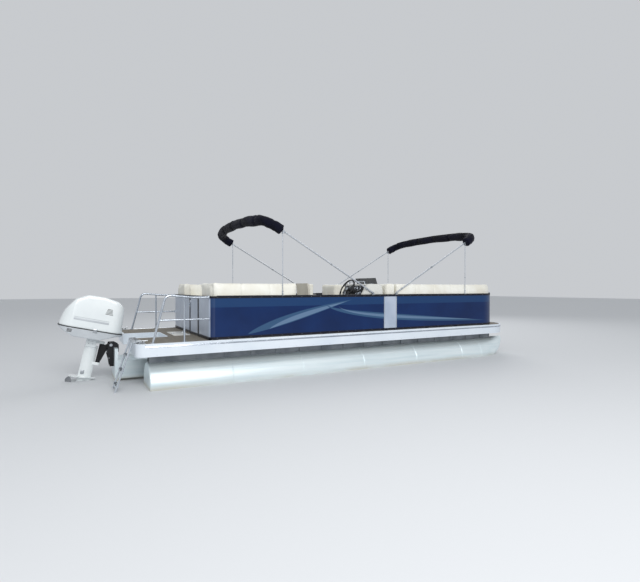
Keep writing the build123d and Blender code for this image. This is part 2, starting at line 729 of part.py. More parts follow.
# Folding tops: name, pivot x, lean (1 leans to the bow, -1 to the stern)
TOP_TABLE = (
    ("aft_top", 3720.0, -1),
    ("bow_top", 4240.0, 1),
)
PIVOT_PIN_R = 5.0
EAR_T = 4.0
EAR_IN = TOP_TUBE_R + 2.0


def top_direction(lean):
    """Unit vector up the leg, and the leg's length."""
    length = math.hypot(TOP_REACH, TOP_RISE)
    return (lean * TOP_REACH / length, TOP_RISE / length), length


def strut_pivot(pivot_x, lean):
    """The (x, z) of the strut's upper pin, under the leg."""
    (dx, dz), _ = top_direction(lean)
    along = STRUT_REACH / abs(dx)
    below = (lean * dz, -abs(dx))
    x = pivot_x + along * dx + below[0] * STRUT_OFFSET
    z = TOP_PIVOT_Z + along * dz + below[1] * STRUT_OFFSET
    return x, z


def top_points(pivot_x, lean, drop=None):
    """The crowned hoop's corner points; with drop, only that length of each leg."""
    (dx, dz), length = top_direction(lean)
    start = 0.0 if drop is None else length - drop
    # Share of the half width, distance along the leg
    half = (
        (1.0, start), (1.0, length - TOP_CROWN), (0.5, length - TOP_CROWN * 0.25), (0.0, length))
    points = [(pivot_x + dx * t, -TOP_Y * share, TOP_PIVOT_Z + dz * t) for share, t in half]
    return points + [(x, -y, z) for x, y, z in reversed(points[:-1])]


def make_top(pivot_x, lean):
    """A folded top: its hoop with jaws for the struts, its boot, and its two struts."""
    hoop = bent_bar(top_points(pivot_x, lean), TOP_BEND, TOP_TUBE_R)
    sx, sz = strut_pivot(pivot_x, lean)
    (dx, dz), _ = top_direction(lean)
    along = STRUT_REACH / abs(dx)
    on_leg = (pivot_x + along * dx, TOP_PIVOT_Z + along * dz)
    struts = []
    for side in (1, -1):
        y = side * TOP_Y
        eye = bar((pivot_x, y - 12, TOP_PIVOT_Z), (pivot_x, y + 12, TOP_PIVOT_Z), 15)
        hoop += eye
        hoop -= bar((pivot_x, y - 40, TOP_PIVOT_Z), (pivot_x, y + 40, TOP_PIVOT_Z), PIVOT_PIN_R + PIN_CLEAR)
        for ear in (1, -1):
            ear_y = sorted((y + ear * 9, y + ear * 13))
            cheek = bar((sx, ear_y[0], sz), (sx, ear_y[1], sz), 11)
            tip = bar((on_leg[0], ear_y[0], on_leg[1]), (on_leg[0], ear_y[1], on_leg[1]), 17)
            web = side_plate((
                (sx - dx * 11, sz - dz * 11), (sx + dx * 11, sz + dz * 11),
                (on_leg[0] + dx * 17, on_leg[1] + dz * 17), (on_leg[0] - dx * 17, on_leg[1] - dz * 17)),
                ear_y)
            hoop += cheek + tip + web
        hoop += bar((sx, y - 13, sz), (sx, y + 13, sz), 4)
        foot_z = FENCE_TOP + 22
        strut = bar((sx, y, sz - 9), (sx, y, foot_z), STRUT_R - 1.5)
        strut += bar((sx, y - 8, sz), (sx, y + 8, sz), 9)
        strut += bar((sx, y, foot_z), (sx, y, foot_z + 30), STRUT_R)
        strut -= bar((sx, y - 20, sz), (sx, y + 20, sz), 4 + PIN_CLEAR)
        struts.append(strut)
    boot = bent_bar(top_points(pivot_x, lean, BOOT_DROP), TOP_BEND, BOOT_R)
    core = bent_bar(top_points(pivot_x, lean, BOOT_DROP + 50), TOP_BEND, TOP_TUBE_R + SEAT_CLEAR)
    return hoop, boot - core, struts


def make_rail_mounts():
    """On the top rails: a forked pivot for each leg, and a socket under each strut's foot."""
    pieces = []
    for _, pivot_x, lean in TOP_TABLE:
        sx, _ = strut_pivot(pivot_x, lean)
        for side in (1, -1):
            y = side * TOP_Y
            half = EAR_IN + EAR_T
            mount = block((pivot_x - 32, pivot_x + 32), (y - half, y + half), (FENCE_TOP, FENCE_TOP + 5))
            for ear in (1, -1):
                ear_y = sorted((y + ear * EAR_IN, y + ear * (EAR_IN + EAR_T)))
                mount += side_plate((
                    (pivot_x - 20, FENCE_TOP + 4), (pivot_x + 20, FENCE_TOP + 4),
                    (pivot_x + 11, TOP_PIVOT_Z + 10), (pivot_x - 11, TOP_PIVOT_Z + 10)), ear_y)
            pin_y = (y - EAR_IN - EAR_T, y + EAR_IN + EAR_T)
            mount += bar((pivot_x, pin_y[0], TOP_PIVOT_Z), (pivot_x, pin_y[1], TOP_PIVOT_Z), PIVOT_PIN_R)
            pieces.append(mount)
            socket = block((sx - 24, sx + 24), (y - 16, y + 16), (FENCE_TOP, FENCE_TOP + 5))
            socket += bar((sx, y, FENCE_TOP), (sx, y, FENCE_TOP + 16), 12)
            pieces.append(socket)
    return pieces


# Outboard, in its own upright frame with the tilt axis at the origin

RAM_BETA = 15.0
RAM_ARM = 75.0
RAM_L = 270.0
RAM_SQUARE = 24.0
RAM_CYL_R = 21.0
RAM_ROD_R = 9.0
RAM_EYE_R = 12.0
RAM_CYL_L = 165.0
CLAMP_Y = 95.0
CLAMP_T = 18.0
TILT_PIN_R = 16.0
SLEEVE_R = 29.0
STEER_R = 32.0
STEER_Z = (-300.0, -15.0)


def upright():
    """Where the outboard's own frame stands before it is tilted."""
    return Pos(TILT_X, 0, TILT_Z)


def tilted():
    """The outboard's own frame at its rest trim."""
    return upright() * Rot(0, REST_TILT, 0)


def ram_points():
    """The ram's upper eye and lower pin in the upright frame, at the rest trim.

    At the trim RAM_SQUARE the ram is square to its arm; below it the rod is drawn in."""
    beta = math.radians(RAM_BETA)
    square = (-RAM_ARM * math.cos(beta), -RAM_ARM * math.sin(beta))
    pin = (square[0] + RAM_L * math.sin(beta), square[1] - RAM_L * math.cos(beta))
    drawn = RAM_ARM * math.sin(math.radians(RAM_SQUARE - REST_TILT))
    eye = (square[0] + drawn * math.sin(beta), square[1] - drawn * math.cos(beta))
    return eye, pin


def make_clamp_bracket():
    """Two side plates hooked over the transom, the tilt pin and the ram's lower pin."""
    face = TRANSOM_X - TILT_X
    back = face + TRANSOM_T
    top = TRANSOM_TOP - TILT_Z
    outline = (
        (face, -330), (face, top), (back, top), (back, -120), (back + 26, -110), (back + 26, 0),
        (back - 30, 34), (-30, 34), (-44, -10), (-52, -110), (-20, -330))
    _, pin = ram_points()
    bracket = None
    for side in (1, -1):
        y = sorted((side * (CLAMP_Y - CLAMP_T / 2), side * (CLAMP_Y + CLAMP_T / 2)))
        plate = side_plate(outline, y)
        bracket = plate if bracket is None else bracket + plate
    reach = CLAMP_Y + CLAMP_T / 2
    bracket += bar((0, -reach - 8, 0), (0, reach + 8, 0), TILT_PIN_R)
    bracket += bar((pin[0], -reach, pin[1]), (pin[0], reach, pin[1]), 10)
    return upright() * bracket


def make_tilt_cylinder():
    """The ram's cylinder with its lower eye, and its rod with the upper eye."""
    eye, pin = ram_points()
    length = math.hypot(eye[0] - pin[0], eye[1] - pin[1])
    step = ((eye[0] - pin[0]) / length, (eye[1] - pin[1]) / length)
    # Distances up from the lower pin: cylinder's ends, bore's ends, rod's ends
    heights = (16, RAM_CYL_L, 56, RAM_CYL_L + 5, 84, length - 8)
    at = [(pin[0] + step[0] * high, 0, pin[1] + step[1] * high) for high in heights]
    cylinder = bar(at[0], at[1], RAM_CYL_R)
    cylinder += bar((pin[0], -20, pin[1]), (pin[0], 20, pin[1]), 20)
    cylinder -= bar((pin[0], -30, pin[1]), (pin[0], 30, pin[1]), 10 + PIN_CLEAR)
    bore_r = RAM_ROD_R + PIN_CLEAR
    cylinder -= bar(at[2], at[3], bore_r)
    rod = bar(at[4], at[5], RAM_ROD_R)
    rod += bar((eye[0], -15, eye[1]), (eye[0], 15, eye[1]), RAM_EYE_R)
    return upright() * cylinder, upright() * rod


def make_swivel_bracket():
    """Sleeve on the tilt pin, two cheeks and the steering tube; the ram's eye lies between."""
    sleeve = bar((0, -76, 0), (0, 76, 0), SLEEVE_R)
    swivel = sleeve + bar((STEER_X, 0, STEER_Z[0]), (STEER_X, 0, STEER_Z[1]), STEER_R)
    for side in (1, -1):
        y = sorted((side * 22, side * 30))
        swivel += side_plate((
            (-2, 27), (-70, -22), (STEER_X, -22), (STEER_X, -270),
            (STEER_X + 36, -270), (-44, -120), (-18, -22), (8, -26)), y)
    swivel -= bar((0, -90, 0), (0, 90, 0), TILT_PIN_R + PIN_CLEAR)
    return tilted() * swivel


def leg_section(z, x, half):
    """A streamlined section of the leg: pointed ends, arcs for sides."""
    mid = (x[0] + x[1]) / 2
    outline = ThreePointArc((x[0], 0), (mid, half), (x[1], 0))
    outline += ThreePointArc((x[1], 0), (mid, -half), (x[0], 0))
    return Pos(0, 0, z) * make_face(outline)


def make_leg():
    """Yokes, leg, anti-ventilation plate, gearcase and skeg."""
    leg = loft([leg_section(-60, (-350, -164), 62), leg_section(PLATE_Z, (-345, -158), 40)])
    leg += loft([leg_section(PLATE_Z + 1, (-345, -150), 38), leg_section(SHAFT_Z + 20, (-345, -140), 30)])
    for z in ((-345.0, STEER_Z[0] - 0.6), (STEER_Z[1] + 0.6, 26.0)):
        yoke = lift(plan_rect((-240, STEER_X), (-34, 34)) + Pos(STEER_X, 0) * Circle(34), z)
        leg += yoke
    leg += lift(plan_rect((-345, -200), (-70, 70)), (-80, TRAY_Z))
    plate = plan_rect((-470, -200), (-105, 105))
    plate = fillet(plate.vertices(), 45) + Pos(-200, 0) * Ellipse(110, 60)
    leg += lift(plate, (PLATE_Z, PLATE_Z + 8))
    profile = make_face(Polyline(
        (-70, 0), (-85, 22), (-120, 42), (-180, 54), (-300, 56), (-400, 44), (-400, 0), close=True))
    case = revolve(Plane(origin=(0, 0, SHAFT_Z), x_dir=(1, 0, 0), z_dir=(0, -1, 0)) * profile,
                   Axis((0, 0, SHAFT_Z), (1, 0, 0)))
    leg += case
    leg += side_plate(((-170, SHAFT_Z - 30), (-230, SKEG_Z), (-330, SKEG_Z), (-350, SHAFT_Z - 30)), (-5, 5))
    return tilted() * leg


def cowl_solid(inset):
    """The cowl's outer form, or the same form a wall further in."""
    low = COWL_SEAM - 60
    side = make_face(Polyline(
        (120, low), (112, 400), (62, 585), (-35, 668), (-240, 700), (-470, 688), (-615, 600), (-725, 420),
        (-768, 260), (-755, low), close=True))
    plan = Pos(COWL_MID, 0) * RectangleRounded(COWL_LENGTH, 2 * COWL_HALF, COWL_CORNER)
    if inset:
        side = offset(side, amount=-inset)
        plan = offset(plan, amount=-inset)
    plane = Plane(origin=(0, 400, 0), x_dir=(1, 0, 0), z_dir=(0, -1, 0))
    above = Pos(0, 0, low) * extrude(plan, amount=700, taper=COWL_TAPER)
    return extrude(plane * side, amount=800) & above


def make_cowl():
    """The upper cowl: a hollow shell, open where it meets the lower cowl."""
    above = block((-900, 300), (-400, 400), (COWL_SEAM, 900))
    outer = cowl_solid(0) & above
    inner = cowl_solid(COWL_WALL)
    return tilted() * (outer - inner)


def make_lower_cowl():
    """The lower cowl: a tray that follows the cowl's seam and narrows to the leg."""
    plan = Pos(COWL_MID, 0) * RectangleRounded(COWL_LENGTH - 16, 2 * COWL_HALF - 20, COWL_CORNER - 8)
    tray = lift(plan, (TRAY_Z - 10, COWL_SEAM))
    low = side_plate((
        (140, 190), (140, 148), (20, 136), (-190, TRAY_Z), (-540, TRAY_Z), (-700, 120), (-800, 190)),
        (-300, 300))
    return tilted() * (tray & low)


def make_powerhead():
    """The engine as one plain block inside the cowl."""
    return tilted() * block((-560, 10), (-150, 150), (COWL_SEAM, 590))


def make_propeller():
    """Hub and three blades about the shaft line."""
    hub = bar((-400 - PROP_GAP, 0, 0), (-505, 0, 0), 40)
    prop = hub
    # Blade sections: radius, chord, pitch angle, thickness
    table = ((30.0, 74.0, 62.0, 10.0), (95.0, 138.0, 38.0, 7.0), (PROP_R, 60.0, 27.0, 3.0))
    sections = []
    for radius, chord, pitch, thick in table:
        plane = Plane(origin=(PROP_X, 0, radius), x_dir=(1, 0, 0), z_dir=(0, 0, 1))
        sections.append(plane * Rot(0, 0, pitch) * Ellipse(thick / 2, chord / 2))
    blade = loft(sections)
    for number in range(3):
        prop += Rot(number * 120, 0, 0) * blade
    return tilted() * Pos(0, 0, SHAFT_Z) * prop


def build_nodes():
    """Every node: its name, and its solids."""
    nodes = {}
    tube = make_tube()
    nodes["tube_port"] = [tube]
    nodes["tube_starboard"] = [mirrored(tube)]
    nodes["risers"] = make_risers()
    nodes["crossmembers"] = make_crossmembers()
    nodes["motor_pod"] = [make_pod()]
    nodes["deck"] = [make_deck()]
    nodes["deck_trim"] = [make_trim()]
    frames, panels, accents = make_fence()
    for name, wall, low, high, hinge_end in GATE_TABLE:
        frame, panel = make_gate(wall, low, high)
        on_gate, on_post = make_hinges(wall, low, high, hinge_end)
        for piece in on_gate:
            frame += piece
        nodes[name] = [frame]
        nodes[name + "_panel"] = [panel]
        fence = frames[wall][0]
        for solid in frames[wall][1:]:
            fence += solid
        for piece in on_post:
            fence += piece
        frames[wall] = fence.solids()
    for name, solids in frames.items():
        nodes["fence_" + name] = solids
    nodes["side_panels"] = panels["side"]
    nodes["bow_panels"] = panels["bow"]
    nodes["stern_panels"] = panels["stern"]
    nodes["accent_panels"] = accents
    rail = make_handrail()
    nodes["stern_handrails"] = [rail, mirrored(rail)]
    for name, x, side, chaise in LOUNGE_TABLE:
        base, cushions = make_lounge(x, side, chaise)
        nodes[name + "_base"] = [base]
        nodes[name + "_cushions"] = cushions
    nodes["helm_console"] = [make_console()]
    nodes["throttle_lever"] = [make_lever()]
    nodes["windscreen"] = [make_screen()]
    nodes["steering_wheel"] = [make_wheel()]
    nodes["chair_pedestal"] = [make_pedestal()]
    chair, pads = make_chair()
    nodes["captains_chair"] = [chair]
    nodes["chair_pads"] = pads
    nodes["ladder"] = [make_ladder()]
    nodes["deck_fittings"] = make_fittings()
    for name, pivot_x, lean in TOP_TABLE:
        hoop, boot, struts = make_top(pivot_x, lean)
        nodes[name + "_frame"] = [hoop]
        nodes[name + "_boot"] = [boot]
        nodes[name + "_struts"] = struts
    nodes["rail_mounts"] = make_rail_mounts()
    nodes["clamp_bracket"] = [make_clamp_bracket()]
    cylinder, rod = make_tilt_cylinder()
    nodes["tilt_cylinder"] = [cylinder]
    nodes["tilt_rod"] = [rod]
    nodes["swivel_bracket"] = [make_swivel_bracket()]
    nodes["motor_leg"] = [make_leg()]
    nodes["motor_cowl"] = [make_cowl()]
    nodes["lower_cowl"] = [make_lower_cowl()]
    nodes["powerhead"] = [make_powerhead()]
    nodes["propeller"] = [make_propeller()]
    return nodes


def centre_shift(nodes):
    """How far the whole boat moves along X so that its box is centred."""
    ends = []
    for shapes in nodes.values():
        for shape in shapes:
            box = shape.bounding_box()
            ends += [box.min.X, box.max.X]
    return -(min(ends) + max(ends)) / 2


NODES = build_nodes()
SHIFT_X = centre_shift(NODES)

os.makedirs("parts", exist_ok=True)
for node, shapes in NODES.items():
    placed = [Pos(SHIFT_X, 0, 0) * solid for shape in shapes for solid in shape.solids()]
    export_step(placed[0] if len(placed) == 1 else Compound(placed), "parts/" + node + ".step")
print("shift along X", round(SHIFT_X, 3), "nodes", len(NODES))
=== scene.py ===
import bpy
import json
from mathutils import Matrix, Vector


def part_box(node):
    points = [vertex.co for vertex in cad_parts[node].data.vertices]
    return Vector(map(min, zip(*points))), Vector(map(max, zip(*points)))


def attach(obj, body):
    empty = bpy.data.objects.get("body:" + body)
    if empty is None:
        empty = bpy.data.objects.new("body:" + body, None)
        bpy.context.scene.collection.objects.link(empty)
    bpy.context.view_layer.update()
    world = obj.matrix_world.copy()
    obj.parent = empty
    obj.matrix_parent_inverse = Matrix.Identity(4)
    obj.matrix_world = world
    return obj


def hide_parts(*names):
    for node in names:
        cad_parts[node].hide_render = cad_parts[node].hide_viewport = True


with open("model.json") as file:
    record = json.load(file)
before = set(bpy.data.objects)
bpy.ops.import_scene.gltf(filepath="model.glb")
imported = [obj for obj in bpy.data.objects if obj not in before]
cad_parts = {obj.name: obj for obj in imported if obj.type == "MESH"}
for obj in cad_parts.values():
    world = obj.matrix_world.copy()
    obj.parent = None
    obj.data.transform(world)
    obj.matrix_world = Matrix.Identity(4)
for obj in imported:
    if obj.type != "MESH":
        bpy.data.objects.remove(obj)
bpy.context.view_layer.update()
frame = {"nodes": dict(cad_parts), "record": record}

import json
import math

import bmesh
import bpy
from mathutils import Matrix, Vector, noise

# Places in the row's frame, in metres
NODES = frame["nodes"]
TUBES_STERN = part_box("tube_port")[0][0]
WATERLINE = 0.29
FLOOR_REACH = 60.0

# The photograph's camera, in metres: aft of the tubes' stern ends, off the centreline and over the water.
# Then the way that it looks, and its lens
CAMERA_BACK = 0.937
CAMERA_OFF = 7.744
CAMERA_UP = 1.41
CAMERA_AHEAD = 0.4841
CAMERA_ACROSS = 0.875
CAMERA_DIP = 0.0067
FOCAL_PIXELS = 450.0
PHOTO_WIDTH = 640.0
SENSOR = 36.0


def colour(red, green, blue):
    """Linear colour from the 0 to 255 values that a screen shows."""
    out = []
    for value in (red, green, blue):
        part = value / 255.0
        out.append(part / 12.92 if part <= 0.04045 else ((part + 0.055) / 1.055) ** 2.4)
    return (*out, 1.0)


# Camera, floor and light

def make_camera():
    """The camera that the photograph fixes."""
    data = bpy.data.cameras.new("camera")
    data.sensor_width = SENSOR
    data.lens = SENSOR * FOCAL_PIXELS / PHOTO_WIDTH
    data.clip_end = 200
    camera = bpy.data.objects.new("camera", data)
    bpy.context.scene.collection.objects.link(camera)
    camera.location = (TUBES_STERN - CAMERA_BACK, -CAMERA_OFF, WATERLINE + CAMERA_UP)
    look = Vector((CAMERA_AHEAD, CAMERA_ACROSS, -CAMERA_DIP))
    camera.rotation_euler = look.to_track_quat("-Z", "Y").to_euler()
    bpy.context.scene.camera = camera


def make_floor():
    """A plain floor in place of the water."""
    bm = bmesh.new()
    bmesh.ops.create_grid(bm, x_segments=2, y_segments=2, size=FLOOR_REACH)
    bmesh.ops.translate(bm, verts=bm.verts, vec=(0, 0, WATERLINE))
    floor = mesh_object("floor", bm)
    mat, graph = material("floor_finish")
    graph.fix({"Base Color": colour(214, 216, 218), "Roughness": 0.85})
    floor.data.materials.append(mat)


def make_light():
    """A bright even sky, a soft key from the near side and a fill from over the bow."""
    world = bpy.data.worlds.new("studio")
    bpy.context.scene.world = world
    world.use_nodes = True
    back = world.node_tree.nodes["Background"]
    back.inputs["Color"].default_value = (0.93, 0.96, 1.0, 1.0)
    back.inputs["Strength"].default_value = 0.62
    # Lamp: name, place, size, power
    table = (
        ("key", (-3.0, -12.0, 8.0), 7.0, 960.0),
        ("fill", (8.0, 8.0, 9.0), 9.0, 420.0),
    )
    for name, place, size, power in table:
        data = bpy.data.lights.new(name, "AREA")
        data.size = size
        data.energy = power
        lamp = bpy.data.objects.new(name, data)
        lamp.location = place
        lamp.rotation_euler = (Vector((0, 0, 1.0)) - Vector(place)).to_track_quat("-Z", "Y").to_euler()
        bpy.context.scene.collection.objects.link(lamp)
    bpy.context.scene.view_settings.view_transform = "Standard"


# Materials

class Graph:
    """Short calls for a material's nodes; every pattern reads Object coordinates."""

    def __init__(self, tree):
        self.tree = tree
        self.shader = tree.nodes["Principled BSDF"]
        self.coords = tree.nodes.new("ShaderNodeTexCoord").outputs["Object"]

    def link(self, source, target):
        self.tree.links.new(source, target)

    def fix(self, values, node=None):
        """Sets plain values of the shader, or of another node."""
        for name, value in values.items():
            (node or self.shader).inputs[name].default_value = value

    def pattern(self, kind, values, source=None):
        """A new node that reads the object's coordinates, or another vector."""
        node = self.tree.nodes.new(kind)
        self.fix(values, node)
        self.link(source or self.coords, node.inputs["Vector"])
        return node

    def noise(self, scale, detail, stretch=None):
        source = None
        if stretch:
            source = self.pattern("ShaderNodeMapping", {"Scale": stretch}).outputs["Vector"]
        node = self.pattern("ShaderNodeTexNoise", {"Scale": scale, "Detail": detail}, source)
        return node.outputs["Fac"]

    def cells(self, scale):
        return self.pattern("ShaderNodeTexVoronoi", {"Scale": scale}).outputs["Distance"]

    def waves(self, scale, direction):
        node = self.pattern("ShaderNodeTexWave", {"Scale": scale, "Distortion": 0.0})
        node.bands_direction = direction
        return node.outputs["Fac"]

    def axis(self, name):
        return self.pattern("ShaderNodeSeparateXYZ", {}).outputs[name]

    def math(self, operation, *values):
        node = self.tree.nodes.new("ShaderNodeMath")
        node.operation = operation
        for number, value in enumerate(values):
            if isinstance(value, (int, float)):
                node.inputs[number].default_value = value
            else:
                self.link(value, node.inputs[number])
        return node.outputs["Value"]

    def span(self, value, low, high, to_low=0.0, to_high=1.0):
        node = self.tree.nodes.new("ShaderNodeMapRange")
        self.fix({"From Min": low, "From Max": high, "To Min": to_low, "To Max": to_high}, node)
        self.link(value, node.inputs["Value"])
        return node.outputs["Result"]

    def mix(self, factor, low, high):
        node = self.tree.nodes.new("ShaderNodeMix")
        node.data_type = "RGBA"
        self.link(factor, node.inputs["Factor"])
        for socket, value in ((node.inputs[6], low), (node.inputs[7], high)):
            if isinstance(value, tuple):
                socket.default_value = value
            else:
                self.link(value, socket)
        return node.outputs[2]

    def bump(self, height, strength, distance):
        node = self.tree.nodes.new("ShaderNodeBump")
        self.fix({"Strength": strength, "Distance": distance}, node)
        self.link(height, node.inputs["Height"])
        self.link(node.outputs["Normal"], self.shader.inputs["Normal"])

    def paint(self, source):
        self.link(source, self.shader.inputs["Base Color"])

    def rough(self, scale, detail, low, high, stretch=None):
        """Roughness that wanders between two values."""
        value = self.span(self.noise(scale, detail, stretch), 0.3, 0.7, low, high)
        self.link(value, self.shader.inputs["Roughness"])


def material(name):
    mat = bpy.data.materials.new(name)
    mat.use_nodes = True
    return mat, Graph(mat.node_tree)


def worn_finish(name, light, dark, rough, metallic=0.0, scale=3.0, bump=0.0, grain=0.0, coat=0.0, shine=0.5):
    """A finish with cloudy colour, uneven gloss and, where it has bump, a fine grain."""
    mat, graph = material(name)
    cloud = graph.span(graph.noise(scale, 4.0), 0.35, 0.65)
    graph.paint(graph.mix(cloud, colour(*dark), colour(*light)))
    graph.rough(scale * 5.0, 3.0, *rough)
    graph.fix({"Metallic": metallic, "Specular IOR Level": shine})
    graph.fix({"Coat Weight": coat, "Coat Roughness": 0.08})
    if bump:
        graph.bump(graph.noise(grain, 2.0), bump, 0.002)
    return mat


def tube_finish():
    """Bright rolled aluminium: long faint streaks, with a tan scum line at the water."""
    mat, graph = material("tube_finish")
    streak = graph.span(graph.noise(3.0, 5.0, (0.25, 6.0, 6.0)), 0.3, 0.7)
    metal = graph.mix(streak, colour(220, 234, 238), colour(240, 249, 251))
    height = graph.math("ADD", graph.axis("Z"), graph.math("MULTIPLY", graph.noise(5.0, 4.0), 0.03))
    wet = graph.math("SUBTRACT", 1.0, graph.span(height, WATERLINE - 0.01, WATERLINE + 0.09))
    patch = graph.span(graph.noise(1.1, 3.0), 0.38, 0.62, 0.15, 0.8)
    stern = graph.span(graph.axis("X"), TUBES_STERN + 1.6, TUBES_STERN + 0.2, 0.0, 0.9)
    wet = graph.math("MULTIPLY", wet, graph.math("MAXIMUM", patch, stern))
    graph.paint(graph.mix(wet, metal, colour(196, 186, 162)))
    graph.fix({"Metallic": 0.45})
    graph.rough(14.0, 4.0, 0.3, 0.44, (0.3, 5.0, 5.0))
    graph.bump(graph.noise(2.2, 2.0, (0.5, 1.5, 1.5)), 0.25, 0.004)
    return mat


# The panels' stripe and sweeps
STRIPE_SHARE = 0.76
SLATE = colour(52, 84, 118)
PALE_SLATE = colour(96, 122, 152)
# Each sweep: start and end along the deck in metres, shares of the panel's height there, bend, half width in
# metres, colour
SWEEPS = (
    (1.40, 3.30, 0.03, 0.93, 0.85, 0.070, SLATE),
    (1.75, 3.20, 0.14, 0.88, 0.80, 0.040, PALE_SLATE),
    (2.75, 6.60, 0.86, 0.10, 0.42, 0.055, SLATE),
    (3.00, 6.30, 0.80, 0.16, 0.38, 0.026, PALE_SLATE),
)
# How far from the centreline the stern panels turn from pale to navy, in metres
CORNER_WRAP = 1.232


def navy_paint(graph):
    """Navy with a lighter upper stripe, and sweeps that rise from the stern and fall away to the bow."""
    z = graph.axis("Z")
    along_deck = graph.math("SUBTRACT", graph.axis("X"), TUBES_STERN)
    cloud = graph.span(graph.noise(2.0, 4.0), 0.3, 0.7)
    low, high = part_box("side_panels")[0][2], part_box("side_panels")[1][2]
    tall = high - low
    painted = graph.mix(cloud, colour(5, 33, 78), colour(9, 42, 92))
    stripe = graph.span(z, low + STRIPE_SHARE * tall, low + (STRIPE_SHARE + 0.01) * tall)
    painted = graph.mix(stripe, painted, colour(24, 58, 102))
    for start, end, from_z, to_z, bend, wide, tone in SWEEPS:
        share = graph.span(along_deck, start, end)
        rise = graph.math("MULTIPLY", graph.math("POWER", share, bend), (to_z - from_z) * tall)
        centre = graph.math("ADD", rise, low + from_z * tall)
        off = graph.math("ABSOLUTE", graph.math("SUBTRACT", z, centre))
        swell = graph.math("SINE", graph.math("MULTIPLY", graph.math("POWER", share, 0.7), math.pi))
        band = graph.span(graph.math("SUBTRACT", off, graph.math("MULTIPLY", swell, wide)), 0.0, -0.004)
        painted = graph.mix(band, painted, tone)
    return painted


def panel_gloss(graph, coat, shine):
    """A panel's uneven gloss under its coat."""
    graph.fix({"Coat Weight": coat, "Coat Roughness": 0.12, "Specular IOR Level": shine})
    graph.rough(9.0, 3.0, 0.28, 0.4)


def panel_finish():
    mat, graph = material("panel_finish")
    graph.paint(navy_paint(graph))
    panel_gloss(graph, 0.15, 0.2)
    return mat


def accent_finish():
    """Pale lavender grey panels, with the navy carried round the stern corners."""
    mat, graph = material("accent_finish")
    cloud = graph.span(graph.noise(3.0, 4.0), 0.35, 0.65)
    pale = graph.mix(cloud, colour(164, 176, 194), colour(180, 190, 206))
    side = graph.math("ABSOLUTE", graph.axis("Y"))
    wrap = graph.span(side, CORNER_WRAP, CORNER_WRAP + 0.003)
    aft = graph.span(graph.axis("X"), TUBES_STERN + 1.5, TUBES_STERN + 1.4)
    graph.paint(graph.mix(graph.math("MULTIPLY", wrap, aft), pale, navy_paint(graph)))
    panel_gloss(graph, 0.3, 0.4)
    return mat


def upholstery_finish():
    """Grained marine vinyl."""
    mat, graph = material("upholstery_finish")
    cloud = graph.span(graph.noise(3.5, 4.0), 0.35, 0.65)
    graph.paint(graph.mix(cloud, colour(226, 222, 208), colour(240, 239, 230)))
    graph.rough(18.0, 3.0, 0.42, 0.55)
    graph.bump(graph.cells(420.0), 0.22, 0.0012)
    graph.fix({"Sheen Weight": 0.08})
    return mat


def canvas_finish():
    """Dark woven canvas: two crossed ribs and faded high spots."""
    mat, graph = material("canvas_finish")
    fade = graph.span(graph.noise(4.0, 5.0), 0.35, 0.7)
    graph.paint(graph.mix(fade, colour(5, 6, 20), colour(14, 15, 36)))
    ribs = graph.math("MULTIPLY", graph.waves(260.0, "X"), graph.waves(260.0, "Y"))
    graph.rough(30.0, 2.0, 0.75, 0.92)
    graph.bump(graph.math("ADD", ribs, graph.noise(25.0, 3.0)), 0.35, 0.002)
    graph.fix({"Sheen Weight": 0.06, "Specular IOR Level": 0.15})
    return mat


def deck_finish():
    """Woven vinyl flooring in a fine basket weave."""
    mat, graph = material("deck_finish")
    weave = graph.math("MULTIPLY", graph.waves(55.0, "X"), graph.waves(55.0, "Y"))
    tone = graph.math("MULTIPLY", weave, graph.span(graph.noise(60.0, 3.0), 0.3, 0.7, 0.6, 1.0))
    graph.paint(graph.mix(tone, colour(112, 106, 96), colour(172, 165, 152)))
    graph.fix({"Roughness": 0.85})
    graph.bump(weave, 0.5, 0.002)
    return mat


def glass_finish():
    """Smoked plastic that shows a little of what is behind it."""
    mat, graph = material("screen_finish")
    cloud = graph.span(graph.noise(5.0, 2.0), 0.3, 0.7)
    graph.paint(graph.mix(cloud, colour(30, 34, 40), colour(40, 46, 54)))
    graph.rough(20.0, 2.0, 0.05, 0.1)
    graph.fix({"Alpha": 0.72})
    return mat


